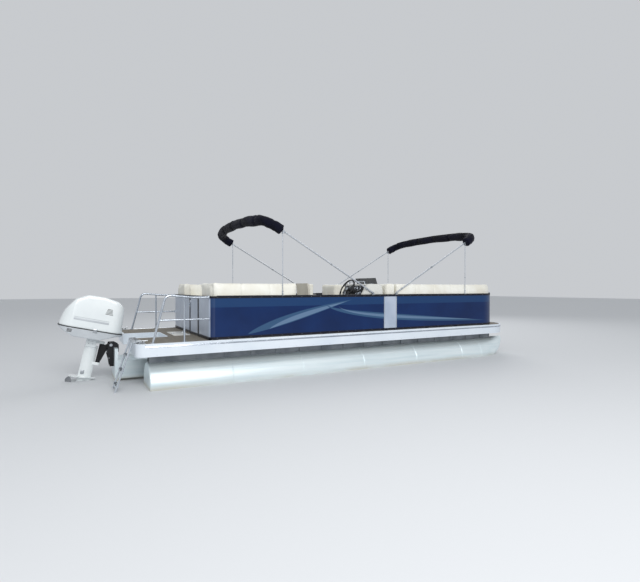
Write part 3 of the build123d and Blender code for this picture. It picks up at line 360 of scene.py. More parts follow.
def make_finishes():
    """Each slot's material."""
    finishes = {
        "tube": tube_finish(),
        "deck": deck_finish(),
        "panel": panel_finish(),
        "accent": accent_finish(),
        "upholstery": upholstery_finish(),
        "screen": glass_finish(),
        "boot": canvas_finish(),
    }
    # Plain slots: light and dark colour, roughness from and to, and what else differs
    table = {
        "frame": ((150, 155, 160), (120, 126, 132), (0.4, 0.55), {"metallic": 0.8}),
        "trim": ((232, 239, 246), (220, 229, 238), (0.3, 0.4), {"metallic": 0.1, "scale": 1.5}),
        "rail": ((18, 20, 36), (10, 12, 24), (0.34, 0.48), {"scale": 4.0, "shine": 0.3}),
        "handrail": ((206, 212, 220), (180, 188, 198), (0.18, 0.3), {"metallic": 0.9}),
        "seat_base": ((216, 212, 200), (202, 198, 186), (0.45, 0.6), {"bump": 0.25, "grain": 220.0}),
        "console": ((222, 222, 216), (208, 208, 202), (0.3, 0.42), {"coat": 0.2}),
        "wheel": ((34, 34, 36), (22, 22, 24), (0.5, 0.65), {"scale": 8.0, "bump": 0.3, "grain": 300.0}),
        "chair_shell": ((216, 212, 200), (204, 199, 187), (0.4, 0.55), {}),
        "pedestal": ((188, 192, 198), (160, 166, 172), (0.25, 0.4), {"metallic": 0.85}),
        "fitting": ((196, 200, 204), (168, 174, 180), (0.2, 0.36), {"metallic": 0.95}),
        "ladder": ((214, 220, 226), (190, 197, 205), (0.22, 0.34), {"metallic": 0.85}),
        "top_tube": ((212, 216, 222), (188, 194, 202), (0.25, 0.38), {"metallic": 0.85}),
        "bracket": ((24, 25, 28), (15, 16, 18), (0.35, 0.5),
                    {"metallic": 0.1, "scale": 5.0, "bump": 0.2, "grain": 160.0, "shine": 0.35}),
        "motor_white": ((238, 243, 243), (228, 234, 235), (0.16, 0.26), {"scale": 2.0, "coat": 0.6}),
        "motor_grey": ((196, 201, 205), (180, 186, 191), (0.3, 0.42), {}),
        "engine": ((70, 70, 72), (50, 50, 52), (0.5, 0.7), {"metallic": 0.5}),
        "propeller": ((170, 172, 176), (130, 134, 138), (0.2, 0.35), {"metallic": 0.95}),
    }
    for slot, (light, dark, rough, other) in table.items():
        finishes[slot] = worn_finish(slot + "_finish", light, dark, rough, **other)
    return finishes


# Mesh helpers

def mesh_object(name, bm):
    mesh = bpy.data.meshes.new(name)
    bm.to_mesh(mesh)
    bm.free()
    obj = bpy.data.objects.new(name, mesh)
    bpy.context.scene.collection.objects.link(obj)
    return obj


def dress(obj, slot, body):
    """Gives a piece its finish, its slot and the body that it rides on."""
    obj.data.materials.clear()
    obj.data.materials.append(FINISHES[slot])
    for face in obj.data.polygons:
        face.use_smooth = True
    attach(obj, body)


def body_of_node(name):
    """The body that carries a CAD node."""
    for body, nodes in frame["record"]["behaviour"]["bodies"].items():
        if name in nodes:
            return body
    return None


def merged_copy(node):
    """A CAD node's solids as one merged bmesh."""
    bm = bmesh.new()
    bm.from_mesh(NODES[node].data)
    bmesh.ops.remove_doubles(bm, verts=bm.verts, dist=0.0002)
    return bm


def apply_modifiers(obj):
    """The object's mesh with its modifiers worked in, and none left."""
    graph = bpy.context.evaluated_depsgraph_get()
    graph.update()
    mesh = bpy.data.meshes.new_from_object(obj.evaluated_get(graph))
    obj.modifiers.clear()
    obj.data = mesh


def islands(bm):
    """One bmesh for each solid, in the order of their first points."""
    seen = set()
    pieces = []
    for seed in bm.verts:
        if seed in seen:
            continue
        seen.add(seed)
        # The group grows while it is walked
        group = [seed]
        for vert in group:
            for link in vert.link_edges:
                other = link.other_vert(vert)
                if other not in seen:
                    seen.add(other)
                    group.append(other)
        part = bmesh.new()
        table = {vert: part.verts.new(vert.co) for vert in group}
        for face in bm.faces:
            if face.verts[0] in table:
                part.faces.new([table[vert] for vert in face.verts])
        pieces.append(part)
    bm.free()
    return pieces


def remeshed(name, bm, voxel, smooth_rounds):
    """A solid as an even mesh with its edges softened."""
    obj = mesh_object(name, bm)
    remesh = obj.modifiers.new("even", "REMESH")
    remesh.mode = "VOXEL"
    remesh.voxel_size = voxel
    apply_modifiers(obj)
    soft = bmesh.new()
    soft.from_mesh(obj.data)
    for _ in range(smooth_rounds):
        bmesh.ops.smooth_vert(
            soft, verts=soft.verts, factor=0.5, use_axis_x=True, use_axis_y=True, use_axis_z=True)
    soft.to_mesh(obj.data)
    soft.free()
    return obj


def subdivide(obj):
    """Each face in four, rounded."""
    subdiv = obj.modifiers.new("fine", "SUBSURF")
    subdiv.levels = 1
    subdiv.render_levels = 1
    apply_modifiers(obj)


def join(name, objects):
    """Several mesh objects as one."""
    bm = bmesh.new()
    for obj in objects:
        bm.from_mesh(obj.data)
        bpy.data.objects.remove(obj)
    return mesh_object(name, bm)


# Cushions, in metres

CHANNEL_DEPTH = 0.009
CHANNEL_WIDTH = 0.011
PAD_SHRINK = 0.005
PUFF_CAP = 0.016
PUFF_FRAMES = 14


def puff(obj):
    """Blows a pad up a little with cloth, and keeps every point within the cap of its start."""
    start = [vert.co.copy() for vert in obj.data.vertices]
    scene = bpy.context.scene
    cloth = obj.modifiers.new("fill", "CLOTH")
    settings = cloth.settings
    settings.use_pressure = True
    settings.uniform_pressure_force = 4.0
    settings.effector_weights.gravity = 0.0
    settings.quality = 4
    cloth.collision_settings.use_collision = False
    for number in range(1, PUFF_FRAMES + 1):
        scene.frame_set(number)
    graph = bpy.context.evaluated_depsgraph_get()
    blown = obj.evaluated_get(graph).to_mesh()
    ends = [vert.co.copy() for vert in blown.vertices]
    obj.modifiers.clear()
    scene.frame_set(1)
    for vert, first, last in zip(obj.data.vertices, start, ends):
        move = last - first
        if move.length > PUFF_CAP:
            move = move * (PUFF_CAP / move.length)
        vert.co = first + move


def with_normals(obj):
    """Each point with a copy of its normal, since normals change while points move."""
    return [(vert, vert.normal.copy()) for vert in obj.data.vertices]


def channel(obj, long_axis, pitch):
    """Presses sewn channels across a pad at even places along it."""
    values = [vert.co[long_axis] for vert in obj.data.vertices]
    low, high = min(values), max(values)
    count = max(1, round((high - low) / pitch))
    step = (high - low) / count
    for vert, normal in with_normals(obj):
        place = (vert.co[long_axis] - low) / step
        near = round(place)
        if near in (0, count):
            continue
        off = (place - near) * step
        vert.co -= normal * CHANNEL_DEPTH * math.exp(-(off / CHANNEL_WIDTH) ** 2)


def make_cushions(node, voxel, pitch):
    """A node's pads, meshed at a step, puffed, and channelled at a pitch, as one piece."""
    pads = []
    for number, bm in enumerate(islands(merged_copy(node))):
        bmesh.ops.recalc_face_normals(bm, faces=bm.faces)
        pad = remeshed(node + "_pad_" + str(number), bm, voxel, 2)
        for vert, normal in with_normals(pad):
            vert.co -= normal * PAD_SHRINK
        puff(pad)
        subdivide(pad)
        size = pad.dimensions
        long_axis = 0 if size.x >= size.y else 1
        channel(pad, long_axis, pitch)
        pads.append(pad)
    whole = join(node + "_soft", pads)
    dress(whole, "upholstery", body_of_node(node))
    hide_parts(node)


# Folded tops in their boots, in millimetres

TOP_REACH = 2120.0
TOP_RISE = 1205.0
TOP_LENGTH = math.hypot(TOP_REACH, TOP_RISE)
TOP_BEND = 320.0
TOP_CROWN = 130.0
TOP_HALF = 1252.0
HOOP_STEP = 24.0
PIVOT_Z = 1616.0
BOOT_R = 80.0
BOOT_DROP = 418.0
STRAP_SHARES = (-0.78, -0.4, 0.0, 0.4, 0.78)
STRUT_ALONG = 1720.0


def leg_line(pivot_x, lean):
    """A top's pivot on the centreline, and the way up its legs."""
    return Vector((pivot_x, 0, PIVOT_Z)), Vector((lean * TOP_REACH / TOP_LENGTH, 0, TOP_RISE / TOP_LENGTH))


def hoop_points(pivot_x, lean):
    """Points at even steps along a folded top's crowned hoop, with round corners."""
    pivot, way = leg_line(pivot_x, lean)
    table = [(-1.0, TOP_LENGTH - BOOT_DROP), (-1.0, TOP_LENGTH - TOP_CROWN)]
    table += [(-0.5, TOP_LENGTH - TOP_CROWN * 0.25), (0.0, TOP_LENGTH)]
    table += [(-share, along) for share, along in reversed(table[:-1])]
    corners = [pivot + way * along + Vector((0, TOP_HALF * share, 0)) for share, along in table]
    path = [corners[0]]
    for before, here, after in zip(corners, corners[1:], corners[2:]):
        back, ahead = (before - here).normalized(), (after - here).normalized()
        turn = math.pi - back.angle(ahead)
        reach = TOP_BEND * math.tan(turn / 2)
        start, end = here + back * reach, here + ahead * reach
        rounds = max(2, int(turn * TOP_BEND / HOOP_STEP) + 1)
        path.append(start)
        for number in range(1, rounds):
            share = number / rounds
            path.append(start.lerp(here, share).lerp(here.lerp(end, share), share))
        path.append(end)
    path.append(corners[-1])
    even = [path[0]]
    for start, end in zip(path, path[1:]):
        parts = max(1, int((end - start).length / HOOP_STEP))
        even += [start.lerp(end, number / parts) for number in range(1, parts + 1)]
    return even


def make_boot(top, pivot_x, lean):
    """The canvas boot round a folded top: lumpy, slack below, gathered at its straps and ends."""
    node = top + "_boot"
    kit = Kit()
    kit.tube(hoop_points(pivot_x, lean), BOOT_R, 28)
    bmesh.ops.recalc_face_normals(kit.bm, faces=kit.bm.faces)
    boot = mesh_object(node + "_soft", kit.bm)
    subdivide(boot)
    half = TOP_HALF / 1000.0
    for vert, normal in with_normals(boot):
        place = vert.co.copy()
        lump = noise.noise(place * 2.6) * 0.013
        fold = noise.noise(Vector((place.x * 17, place.y * 3.2, place.z * 17))) * 0.009
        crumple = noise.noise(Vector((place.x * 34, place.y * 13, place.z * 34))) * 0.0035
        slack = 0.009 * max(0.0, -normal.z)
        gather = 0.0
        pleat = 0.0
        for share in STRAP_SHARES:
            off = (place.y - share * half) / 0.03
            gather -= 0.014 * math.exp(-off * off)
            around = math.atan2(normal.z, normal.x)
            pleat += 0.003 * math.sin(around * 11 + share * 7) * math.exp(-(off / 3) ** 2)
        vert.co += normal * (lump + fold + crumple + slack + gather + pleat - 0.003)
    dress(boot, "boot", top)
    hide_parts(node)


# Outboard shells, in metres

COWL_OPEN = 0.187
COWL_WALL = 0.006


def make_motor_shell(node, slot, voxel):
    """A moulded housing: the solid's form with its edges rolled over."""
    shell = remeshed(node + "_shell", merged_copy(node), voxel, 3)
    thin = shell.modifiers.new("thin", "DECIMATE")
    thin.ratio = 0.6
    apply_modifiers(shell)
    dress(shell, slot, "motor")
    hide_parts(node)


def make_cowl_shell():
    """The upper cowl: its outer form with the edges rolled over, open below, one wall thick."""
    hull = bmesh.new()
    source = merged_copy("motor_cowl")
    for vert in source.verts:
        hull.verts.new(vert.co)
    source.free()
    made = bmesh.ops.convex_hull(hull, input=hull.verts)
    unused = made["geom_interior"] + made["geom_unused"]
    inside = {item for item in unused if isinstance(item, bmesh.types.BMVert)}
    bmesh.ops.delete(hull, geom=list(inside), context="VERTS")
    shell = remeshed("motor_cowl_shell", hull, 0.010, 14)
    to_motor = leant(TILT_AXIS, TILT_REST).inverted()
    open_bm = bmesh.new()
    open_bm.from_mesh(shell.data)
    below = [
        face for face in open_bm.faces if all((to_motor @ vert.co).z < COWL_OPEN for vert in face.verts)]
    bmesh.ops.delete(open_bm, geom=below, context="FACES")
    open_bm.to_mesh(shell.data)
    open_bm.free()
    wall = shell.modifiers.new("wall", "SOLIDIFY")
    wall.thickness = COWL_WALL
    wall.offset = -1.0
    apply_modifiers(shell)
    dress(shell, "motor_white", "motor")
    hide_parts("motor_cowl")


# CAD nodes that keep their own mesh

def finish_nodes():
    """Each CAD node takes the finish of its slot."""
    for part in frame["record"]["subparts"]:
        obj = NODES[part["node"]]
        obj.data.materials.clear()
        obj.data.materials.append(FINISHES[part["material_slot"]])


# Small closed forms, in millimetres from the tubes' stern ends, the centreline and the keels

def at(x, y, z):
    """A point in the row's frame, from millimetres."""
    return Vector((TUBES_STERN + x / 1000.0, y / 1000.0, z / 1000.0))


def leant(pivot, degrees):
    """A frame at a pivot, turned about the axis across the boat."""
    return Matrix.Translation(at(*pivot)) @ Matrix.Rotation(math.radians(degrees), 4, "Y")


class Kit:
    """Builds one piece out of small closed solids. Its place maps millimetres to the row's frame."""

    def __init__(self, place=None):
        self.bm = bmesh.new()
        self.place = place or Matrix.Translation(at(0, 0, 0))

    def put(self, verts, matrix):
        move = Matrix.Translation(Vector(matrix.to_translation()) / 1000.0)
        turn = matrix.to_3x3().to_4x4()
        bmesh.ops.transform(self.bm, matrix=self.place @ move @ turn, verts=verts)

    def block(self, low, high, roll=0.0, turn=None):
        """A box between two corners, with its edges rolled by a radius."""
        low, high = Vector(low), Vector(high)
        size = (high - low) / 1000.0
        made = bmesh.ops.create_cube(self.bm, size=1.0)
        verts = made["verts"]
        bmesh.ops.scale(self.bm, vec=size, verts=verts)
        if roll:
            edges = list(dict.fromkeys(edge for vert in verts for edge in vert.link_edges))
            done = bmesh.ops.bevel(self.bm, geom=edges, offset=roll / 1000.0, segments=2, profile=0.5,
                                   affect="EDGES", material=-1)
            rolled = {vert for face in done["faces"] for vert in face.verts}
            verts = list(rolled | {vert for vert in verts if vert.is_valid})
        matrix = Matrix.Translation((low + high) / 2)
        if turn is not None:
            matrix = matrix @ turn
        self.put(verts, matrix)

    def slab(self, centre, half, roll, turn=None):
        """A box about its centre."""
        centre, half = Vector(centre), Vector(half)
        self.block(centre - half, centre + half, roll, turn)

    def rod(self, start, end, radius, end_radius=None, sides=16):
        """A round bar or cone between two points."""
        start, end = Vector(start), Vector(end)
        along = end - start
        made = bmesh.ops.create_cone(
            self.bm, cap_ends=True, cap_tris=False, segments=sides, radius1=radius / 1000.0,
            radius2=(radius if end_radius is None else end_radius) / 1000.0, depth=along.length / 1000.0)
        turn = Vector((0, 0, 1)).rotation_difference(along).to_matrix().to_4x4()
        self.put(made["verts"], Matrix.Translation((start + end) / 2) @ turn)

    def button(self, centre, normal, radius, height, sides=12):
        """A fastener's head: a short cone on a face."""
        centre, normal = Vector(centre), Vector(normal).normalized()
        self.rod(centre - normal * height * 0.4, centre + normal * height, radius, radius * 0.7, sides)

    def ball(self, centre, radius):
        made = bmesh.ops.create_uvsphere(self.bm, u_segments=16, v_segments=10, radius=radius / 1000.0)
        self.put(made["verts"], Matrix.Translation(Vector(centre)))

    def ring(self, centre, normal, radius, wire, around=32, sides=8):
        """A torus about a normal."""
        turn = Vector((0, 0, 1)).rotation_difference(Vector(normal)).to_matrix().to_4x4()
        rows = []
        for number in range(around):
            angle = math.tau * number / around
            row = []
            for side in range(sides):
                tip = math.tau * side / sides
                far = (radius + wire * math.cos(tip)) / 1000.0
                row.append(self.bm.verts.new(
                    (far * math.cos(angle), far * math.sin(angle), wire * math.sin(tip) / 1000.0)))
            rows.append(row)
        for number in range(around):
            here, there = rows[number], rows[(number + 1) % around]
            for side in range(sides):
                other = (side + 1) % sides
                self.bm.faces.new((here[side], there[side], there[other], here[other]))
        self.put([vert for row in rows for vert in row], Matrix.Translation(Vector(centre)) @ turn)

    def tube(self, points, radius, sides=10, closed=False):
        """A bent round bar through points, with mitred bends."""
        points = [Vector(p) for p in points]
        count = len(points)
        rows = []
        side_way = None
        for number, point in enumerate(points):
            before = points[number - 1] if number or closed else point
            after = points[(number + 1) % count] if number < count - 1 or closed else point
            along = (after - before).normalized()
            if side_way is None:
                side_way = along.orthogonal().normalized()
            side_way = (side_way - along * side_way.dot(along)).normalized()
            up = along.cross(side_way)
            row = []
            for side in range(sides):
                tip = math.tau * side / sides
                place = point + (side_way * math.cos(tip) + up * math.sin(tip)) * radius
                row.append(self.bm.verts.new(place / 1000.0))
            rows.append(row)
        pairs = list(zip(rows, rows[1:]))
        if closed:
            pairs.append((rows[-1], rows[0]))
        for here, there in pairs:
            for side in range(sides):
                other = (side + 1) % sides
                self.bm.faces.new((here[side], here[other], there[other], there[side]))
        if not closed:
            self.bm.faces.new(list(reversed(rows[0])))
            self.bm.faces.new(rows[-1])
        self.put([vert for row in rows for vert in row], Matrix.Identity(4))

    def finish(self, name, slot, body):
        """Turns what was built into a named piece."""
        bmesh.ops.recalc_face_normals(self.bm, faces=self.bm.faces)
        obj = mesh_object(name, self.bm)
        dress(obj, slot, body)
        obj.data.set_sharp_from_angle(angle=math.radians(SMOOTH_ANGLE))


def spread(low, high, pitch):
    """Even places between two ends, with both ends."""
    count = max(1, round((high - low) / pitch))
    return [low + (high - low) * number / count for number in range(count + 1)]


# Sizes and places that the details share, in millimetres, with angles in degrees
SIDES = (1, -1)
SMOOTH_ANGLE = 35
TUBE_OFF = 955
TUBE_Z = 332.5
TUBE_R = 317.5
FENCE_TOP = 1580.0
FENCE_OUT = 1268.0
FENCE_STERN = 820.0
FENCE_BOW = 7040.0
RAIL_HALF = 16
TRIM_BOW = 7340.0
DECK_Z = 935.0
BEAM_HALF = 1295.0
BOW_R = 560.0
LOUNGE_FACE = 596
# The steering wheel's place on the dash, and the dash's own directions
HELM = Vector((3550, -800, 1635))
HELM_OUT = Vector((-0.8603, 0, 0.5098))
HELM_ACROSS = Vector((0, 1, 0))
CHAIR_X = 2860
CHAIR_Y = -740
HANDRAIL_Y = 1222
LADDER_PIVOT = (-202, 0, 972)
LADDER_LEAN = 18
LADDER_RAILS = (-1120, -800)
# The outboard: its tilt axis, its trim at rest, and the draft of the cowl's sides over their foot
TILT_AXIS = (-400, 0, 820)
TILT_REST = 13.0
COWL_HALF = 250
COWL_FOOT = 122
COWL_DRAFT = 7


def plan_path(half, x_low, x_high, bow_r, z, step=14):
    """Points along one side from the stern, round both bow corners, and back down the other side."""
    points = [Vector((x_low, -half, z))]
    for number in range(step + 1):
        angle = -math.pi / 2 + math.pi / 2 * number / step
        x = x_high - bow_r + bow_r * math.cos(angle)
        points.append(Vector((x, -half + bow_r + bow_r * math.sin(angle), z)))
    mirror = [Vector((p.x, -p.y, p.z)) for p in reversed(points)]
    return points + mirror


def round_spots(count, centre, radius, turn=0.0):
    """Even places on a circle, each as x and y."""
    angles = [math.tau * (number + turn) / count for number in range(count)]
    return [(centre[0] + radius * math.cos(angle), centre[1] + radius * math.sin(angle)) for angle in angles]


# Hull and deck

def make_trim_details():
    """The rub rail along the deck's trim, and the trim's screws."""
    rail = Kit()
    for z in (902.0, 890.0):
        rail.tube(plan_path(BEAM_HALF - 1, -60, TRIM_BOW - 2, 579, z), 7, 8)
    rail.finish("rub_rail", "handrail", "hull")
    screws = Kit()
    for side in SIDES:
        for x in spread(-60, 6600, 300):
            screws.button((x, side * BEAM_HALF, 925), (0, side, 0), 5, 3)
            screws.button((x + 150, side * BEAM_HALF, 780), (0, side, 0), 4, 2.5)
    for y in spread(-700, 700, 280):
        screws.button((TRIM_BOW, y, 925), (1, 0, 0), 5, 3)
    screws.finish("trim_screws", "fitting", "hull")


def make_tube_details():
    """Gussets between tubes and deck frame, drain plugs, and rings of weld."""
    gussets, plugs, beads = Kit(), Kit(), Kit()
    for side in SIDES:
        for x in spread(300, 6700, 430):
            for edge in (-1, 1):
                y = side * TUBE_OFF + edge * 76
                gussets.block((x - 45, y - 4, 605), (x + 45, y + 4, 800), 2)
        plugs.rod((-8, side * TUBE_OFF, 90), (3, side * TUBE_OFF, 90), 22, sides=24)
        plugs.rod((-18, side * TUBE_OFF, 90), (-6, side * TUBE_OFF, 90), 11, sides=6)
        for x in [6440] + [1180 * n + off for n in range(1, 6) for off in (-6, 6)]:
            beads.ring((x, side * TUBE_OFF, TUBE_Z), (1, 0, 0), TUBE_R + 1, 3.2, 64, 6)
    gussets.finish("tube_gussets", "frame", "hull")
    plugs.finish("drain_plugs", "fitting", "hull")
    beads.finish("weld_beads", "tube", "hull")


def make_deck_details():
    """The flooring's edge bead, and the aft hatch with its pull ring and hinges."""
    bead = Kit()
    bead.tube(plan_path(BEAM_HALF - 26, -120, TRIM_BOW - 35, 540, DECK_Z + 1), 3.5, 6)
    bead.finish("floor_bead", "fitting", "hull")
    hatch = Kit()
    hatch.block((500, -330, DECK_Z), (760, 330, DECK_Z + 7), 3)
    hatch.finish("aft_hatch", "console", "hull")
    metal = Kit()
    metal.ring((540, 0, DECK_Z + 8), (0, 0, 1), 24, 4)
    for y in (-240, 240):
        metal.block((740, y - 30, DECK_Z + 2), (775, y + 30, DECK_Z + 11), 2)
    metal.finish("hatch_hardware", "fitting", "hull")


# Fence

def make_fence_details():
    """Rivets and a cap bead along the rails, strips at the accent panels, and light housings."""
    rivets = Kit()
    for z in (FENCE_TOP - RAIL_HALF, DECK_Z + 31):
        spots = [((x, side * FENCE_OUT, z), (0, side, 0)) for side in SIDES for x in spread(930, 6460, 172)
                 if side < 0 or not 3270 < x < 3920]
        spots += [((FENCE_BOW, y, z), (1, 0, 0)) for y in spread(-650, 650, 130) if abs(y) > 340]
        spots += [((FENCE_STERN, y, z), (-1, 0, 0)) for y in spread(-1150, 1150, 150) if not -600 < y < -10]
        for spot, out in spots:
            rivets.button(spot, out, 4.5, 2.2, 10)
    rivets.finish("rail_rivets", "handrail", "hull")
    # One bead from the stern round the starboard bow corner, one round the port bow corner to the side gate
    cap = Kit()
    for x, run in ((930, slice(None, 18)), (3930, slice(19, None))):
        middle = [size - RAIL_HALF for size in (FENCE_OUT, FENCE_BOW, BOW_R)]
        path = plan_path(middle[0], x, middle[1], middle[2], FENCE_TOP + 1, 16)
        cap.tube(path[run], 7, 8)
    cap.finish("rail_cap_bead", "rail", "hull")
    strips = Kit()
    for side, x in ((1, 4232), (-1, 3958), (-1, 4232)):
        y = side * FENCE_OUT
        strips.block((x - 7, y - 3, DECK_Z + 50), (x + 7, y + 3, FENCE_TOP - 34), 2)
    strips.finish("accent_strips", "handrail", "hull")
    # Light housings on the rail's two bow corners, turned with its bend
    lights = Kit()
    reach = (BOW_R - RAIL_HALF) * math.sqrt(0.5)
    for side in SIDES:
        centre = (FENCE_BOW - BOW_R + reach, side * (FENCE_OUT - BOW_R + reach), FENCE_TOP + 11)
        lights.slab(centre, (38, 15, 13), 8, Matrix.Rotation(math.radians(side * 135), 4, "Z"))
    lights.finish("bow_light_housings", "rail", "hull")


def make_gate_details():
    """Each gate's latch: a plate on the frame and a lever."""
    # Gate, latch place, outward normal
    table = (
        ("bow_gate", (FENCE_BOW, -309, 1430), (1, 0, 0)),
        ("stern_gate", (FENCE_STERN, -46, 1430), (-1, 0, 0)),
        ("side_gate", (3874, FENCE_OUT, 1430), (0, 1, 0)),
    )
    for gate, place, normal in table:
        latch = Kit()
        place, normal = Vector(place), Vector(normal)
        across = Vector((abs(normal.y), abs(normal.x), 0))
        low = place - across * 13 - Vector((0, 0, 60)) - normal * 1
        high = place + across * 13 + Vector((0, 0, 60)) + normal * 5
        latch.block(list(map(min, low, high)), list(map(max, low, high)), 2)
        latch.rod(place + normal * 3, place + normal * 24, 9)
        latch.rod(place + normal * 20 - Vector((0, 0, 8)), place + normal * 20 + Vector((0, 0, 62)), 6, 4.5)
        latch.finish(gate + "_latch", "handrail", gate)


# Seats and helm

def make_base_details():
    """Storage doors with hinges and pulls, and speakers, on the lounge bases."""
    doors, metal, dark = Kit(), Kit(), Kit()
    for side in SIDES:
        face = side * LOUNGE_FACE
        spans = [(4300, 5000), (5080, 5800), (5880, 6600), (960, 1520), (1600, 2180)]
        if side > 0:
            spans.append((2300, 3100))
        for low, high in spans:
            doors.block((low, face - 5, 1035), (high, face + 5, 1235), 6)
            for x in (low + 40, high - 40):
                metal.block((x - 16, face - side * 7 - 2, 1228), (x + 16, face - side * 7 + 2, 1262), 1.5)
            metal.ring(((low + high) / 2, face - side * 6, 1190), (0, 1, 0), 15, 3)
        for x in (4180, 2220):
            dark.rod((x, face + side * 6, 1140), (x, face - side * 7, 1140), 62, 55, 28)
            metal.ring((x, face - side * 7, 1140), (0, 1, 0), 60, 4, 36)
    doors.finish("base_doors", "seat_base", "hull")
    metal.finish("base_hardware", "fitting", "hull")
    dark.finish("speakers", "bracket", "hull")


def make_console_details():
    """Dash, gauges, switches, screen, grab rail, doors with their hardware, and cup holders."""
    along, normal = HELM_ACROSS, HELM_OUT
    up = Vector((normal.z, 0, -normal.x))
    face = Kit()
    turn = Matrix((along, up, normal)).transposed().to_4x4()
    face.slab(HELM - along * 72, (300, 128, 5), 4, turn)
    face.finish("dash_panel", "bracket", "hull")
    bezels, faces = Kit(), Kit()
    # Gauges: across, up, radius
    table = ((-230, 60, 44), (-120, 78, 34), (96, 78, 34), (-310, -30, 26), (-240, -50, 26))
    for across, rise, radius in table:
        spot = HELM + along * across + up * rise + normal * 5
        faces.rod(spot - normal * 3, spot + normal * 3, radius, sides=28)
        bezels.ring(spot + normal * 3, normal, radius, 4, 36)
    for number in range(6):
        spot = HELM + along * (-330 + number * 26) + up * -98 + normal * 6
        faces.slab(spot, (6, 8, 9), 2)
    faces.slab(HELM + along * 190 + up * 20 + normal * 7, (62, 62, 5), 3, turn)
    bezels.finish("gauge_rims", "handrail", "hull")
    faces.finish("gauges", "screen", "hull")
    trim = Kit()
    trim.tube([(3640, -1120, 1772), (3640, -1120, 1812), (3640, -620, 1812), (3640, -620, 1772)], 9, 10)
    trim.finish("console_grab_rail", "handrail", "hull")
    door = Kit()
    door.block((3976, -1140, 1010), (3986, -600, 1540), 4)
    door.block((3570, -523, 990), (3930, -514, 1420), 4)
    door.finish("console_doors", "console", "hull")
    metal = Kit()
    metal.ring((3988, -640, 1290), (1, 0, 0), 17, 3.5)
    metal.ring((3900, -512, 1210), (0, 1, 0), 17, 3.5)
    for z in (1060, 1350):
        metal.rod((3578, -513, z - 30), (3578, -513, z + 30), 5)
    metal.button((3680, -482, 1548), (0, 1, 0), 10, 5, 16)
    metal.finish("console_hardware", "fitting", "hull")
    cups = Kit()
    for x, y in ((3760, -600), (3760, -1150)):
        cups.ring((x, y, 1771), (0, 0, 1), 42, 5, 36)
        cups.rod((x, y, 1766), (x, y, 1771.5), 40, sides=32)
    cups.finish("cup_holders", "fitting", "hull")


def make_wheel_details():
    """The wheel's grip wraps, its hub cap and spoke inlays."""
    normal, across = HELM_OUT, HELM_ACROSS
    up = normal.cross(across)
    middle = HELM + normal * 95
    grips = Kit()
    for mid in (45, 135, 225, 315):
        points = []
        for number in range(9):
            angle = math.radians(mid - 24 + 6 * number)
            points.append(middle + (across * math.cos(angle) + up * math.sin(angle)) * 185)
        grips.tube(points, 15.2, 12)
    grips.finish("wheel_grips", "bracket", "steering_wheel")
    hub = Kit()
    hub.rod(middle + normal * 4, middle + normal * 13, 36, 26, 28)
    for turn in (90, 210, 330):
        angle = math.radians(turn)
        way = across * math.cos(angle) + up * math.sin(angle)
        hub.rod(middle + way * 60 + normal * 3, middle + way * 150 + normal * 3, 5)
    hub.finish("wheel_hub", "fitting", "steering_wheel")


def make_chair_details():
    """Foot bolts, post collars, and the chair's slide lever and arm pads."""
    bolts = Kit()
    for spot in round_spots(8, (CHAIR_X, CHAIR_Y), 145):
        bolts.button((*spot, 947), (0, 0, 1), 8, 5)
    for z, radius, wire in ((950, 42, 6), (1080, 39, 5), (1236, 39, 6)):
        bolts.ring((CHAIR_X, CHAIR_Y, z), (0, 0, 1), radius, wire, 36)
    bolts.finish("pedestal_hardware", "fitting", "hull")
    pads = Kit()
    for side in SIDES:
        y = CHAIR_Y + side * 270
        pads.block((CHAIR_X - 225, y - 26, 1552), (CHAIR_X + 145, y + 26, 1578), 11)
    pads.finish("arm_pads", "upholstery", "chair")
    lever = Kit()
    lever.rod((3060, -580, 1280), (3095, -470, 1300), 6)
    lever.ball((3095, -470, 1300), 14)
    lever.finish("chair_lever", "bracket", "chair")


def make_lever_details():
    """The cap on the throttle lever's pivot."""
    cap = Kit()
    cap.button((3680, -467, 1600), (0, 1, 0), 15, 4, 20)
    cap.finish("lever_cap", "fitting", "throttle")


# Stern fittings

def make_ladder_details():
    """Grip strips on the treads, and end caps, in the ladder's own frame, which hangs from its pivot."""
    place = leant(LADDER_PIVOT, LADDER_LEAN)
    grips = Kit(place)
    lean = math.radians(LADDER_LEAN)
    level = Matrix.Rotation(-lean, 4, "Y")
    for number in range(4):
        z = -60 - 210 * (number + 0.75)
        for off in (-14, 0, 14):
            centre = (off * math.cos(lean), sum(LADDER_RAILS) / 2, z + 9.4 + off * math.sin(lean))
            grips.slab(centre, (4.5, 138, 1.8), 0.8, level)
    grips.finish("tread_grips", "wheel", "ladder")
    caps = Kit(place)
    for y in LADDER_RAILS:
        caps.rod((0, y, -905), (0, y, -872), 15.5, sides=20)
    caps.finish("ladder_caps", "wheel", "ladder")


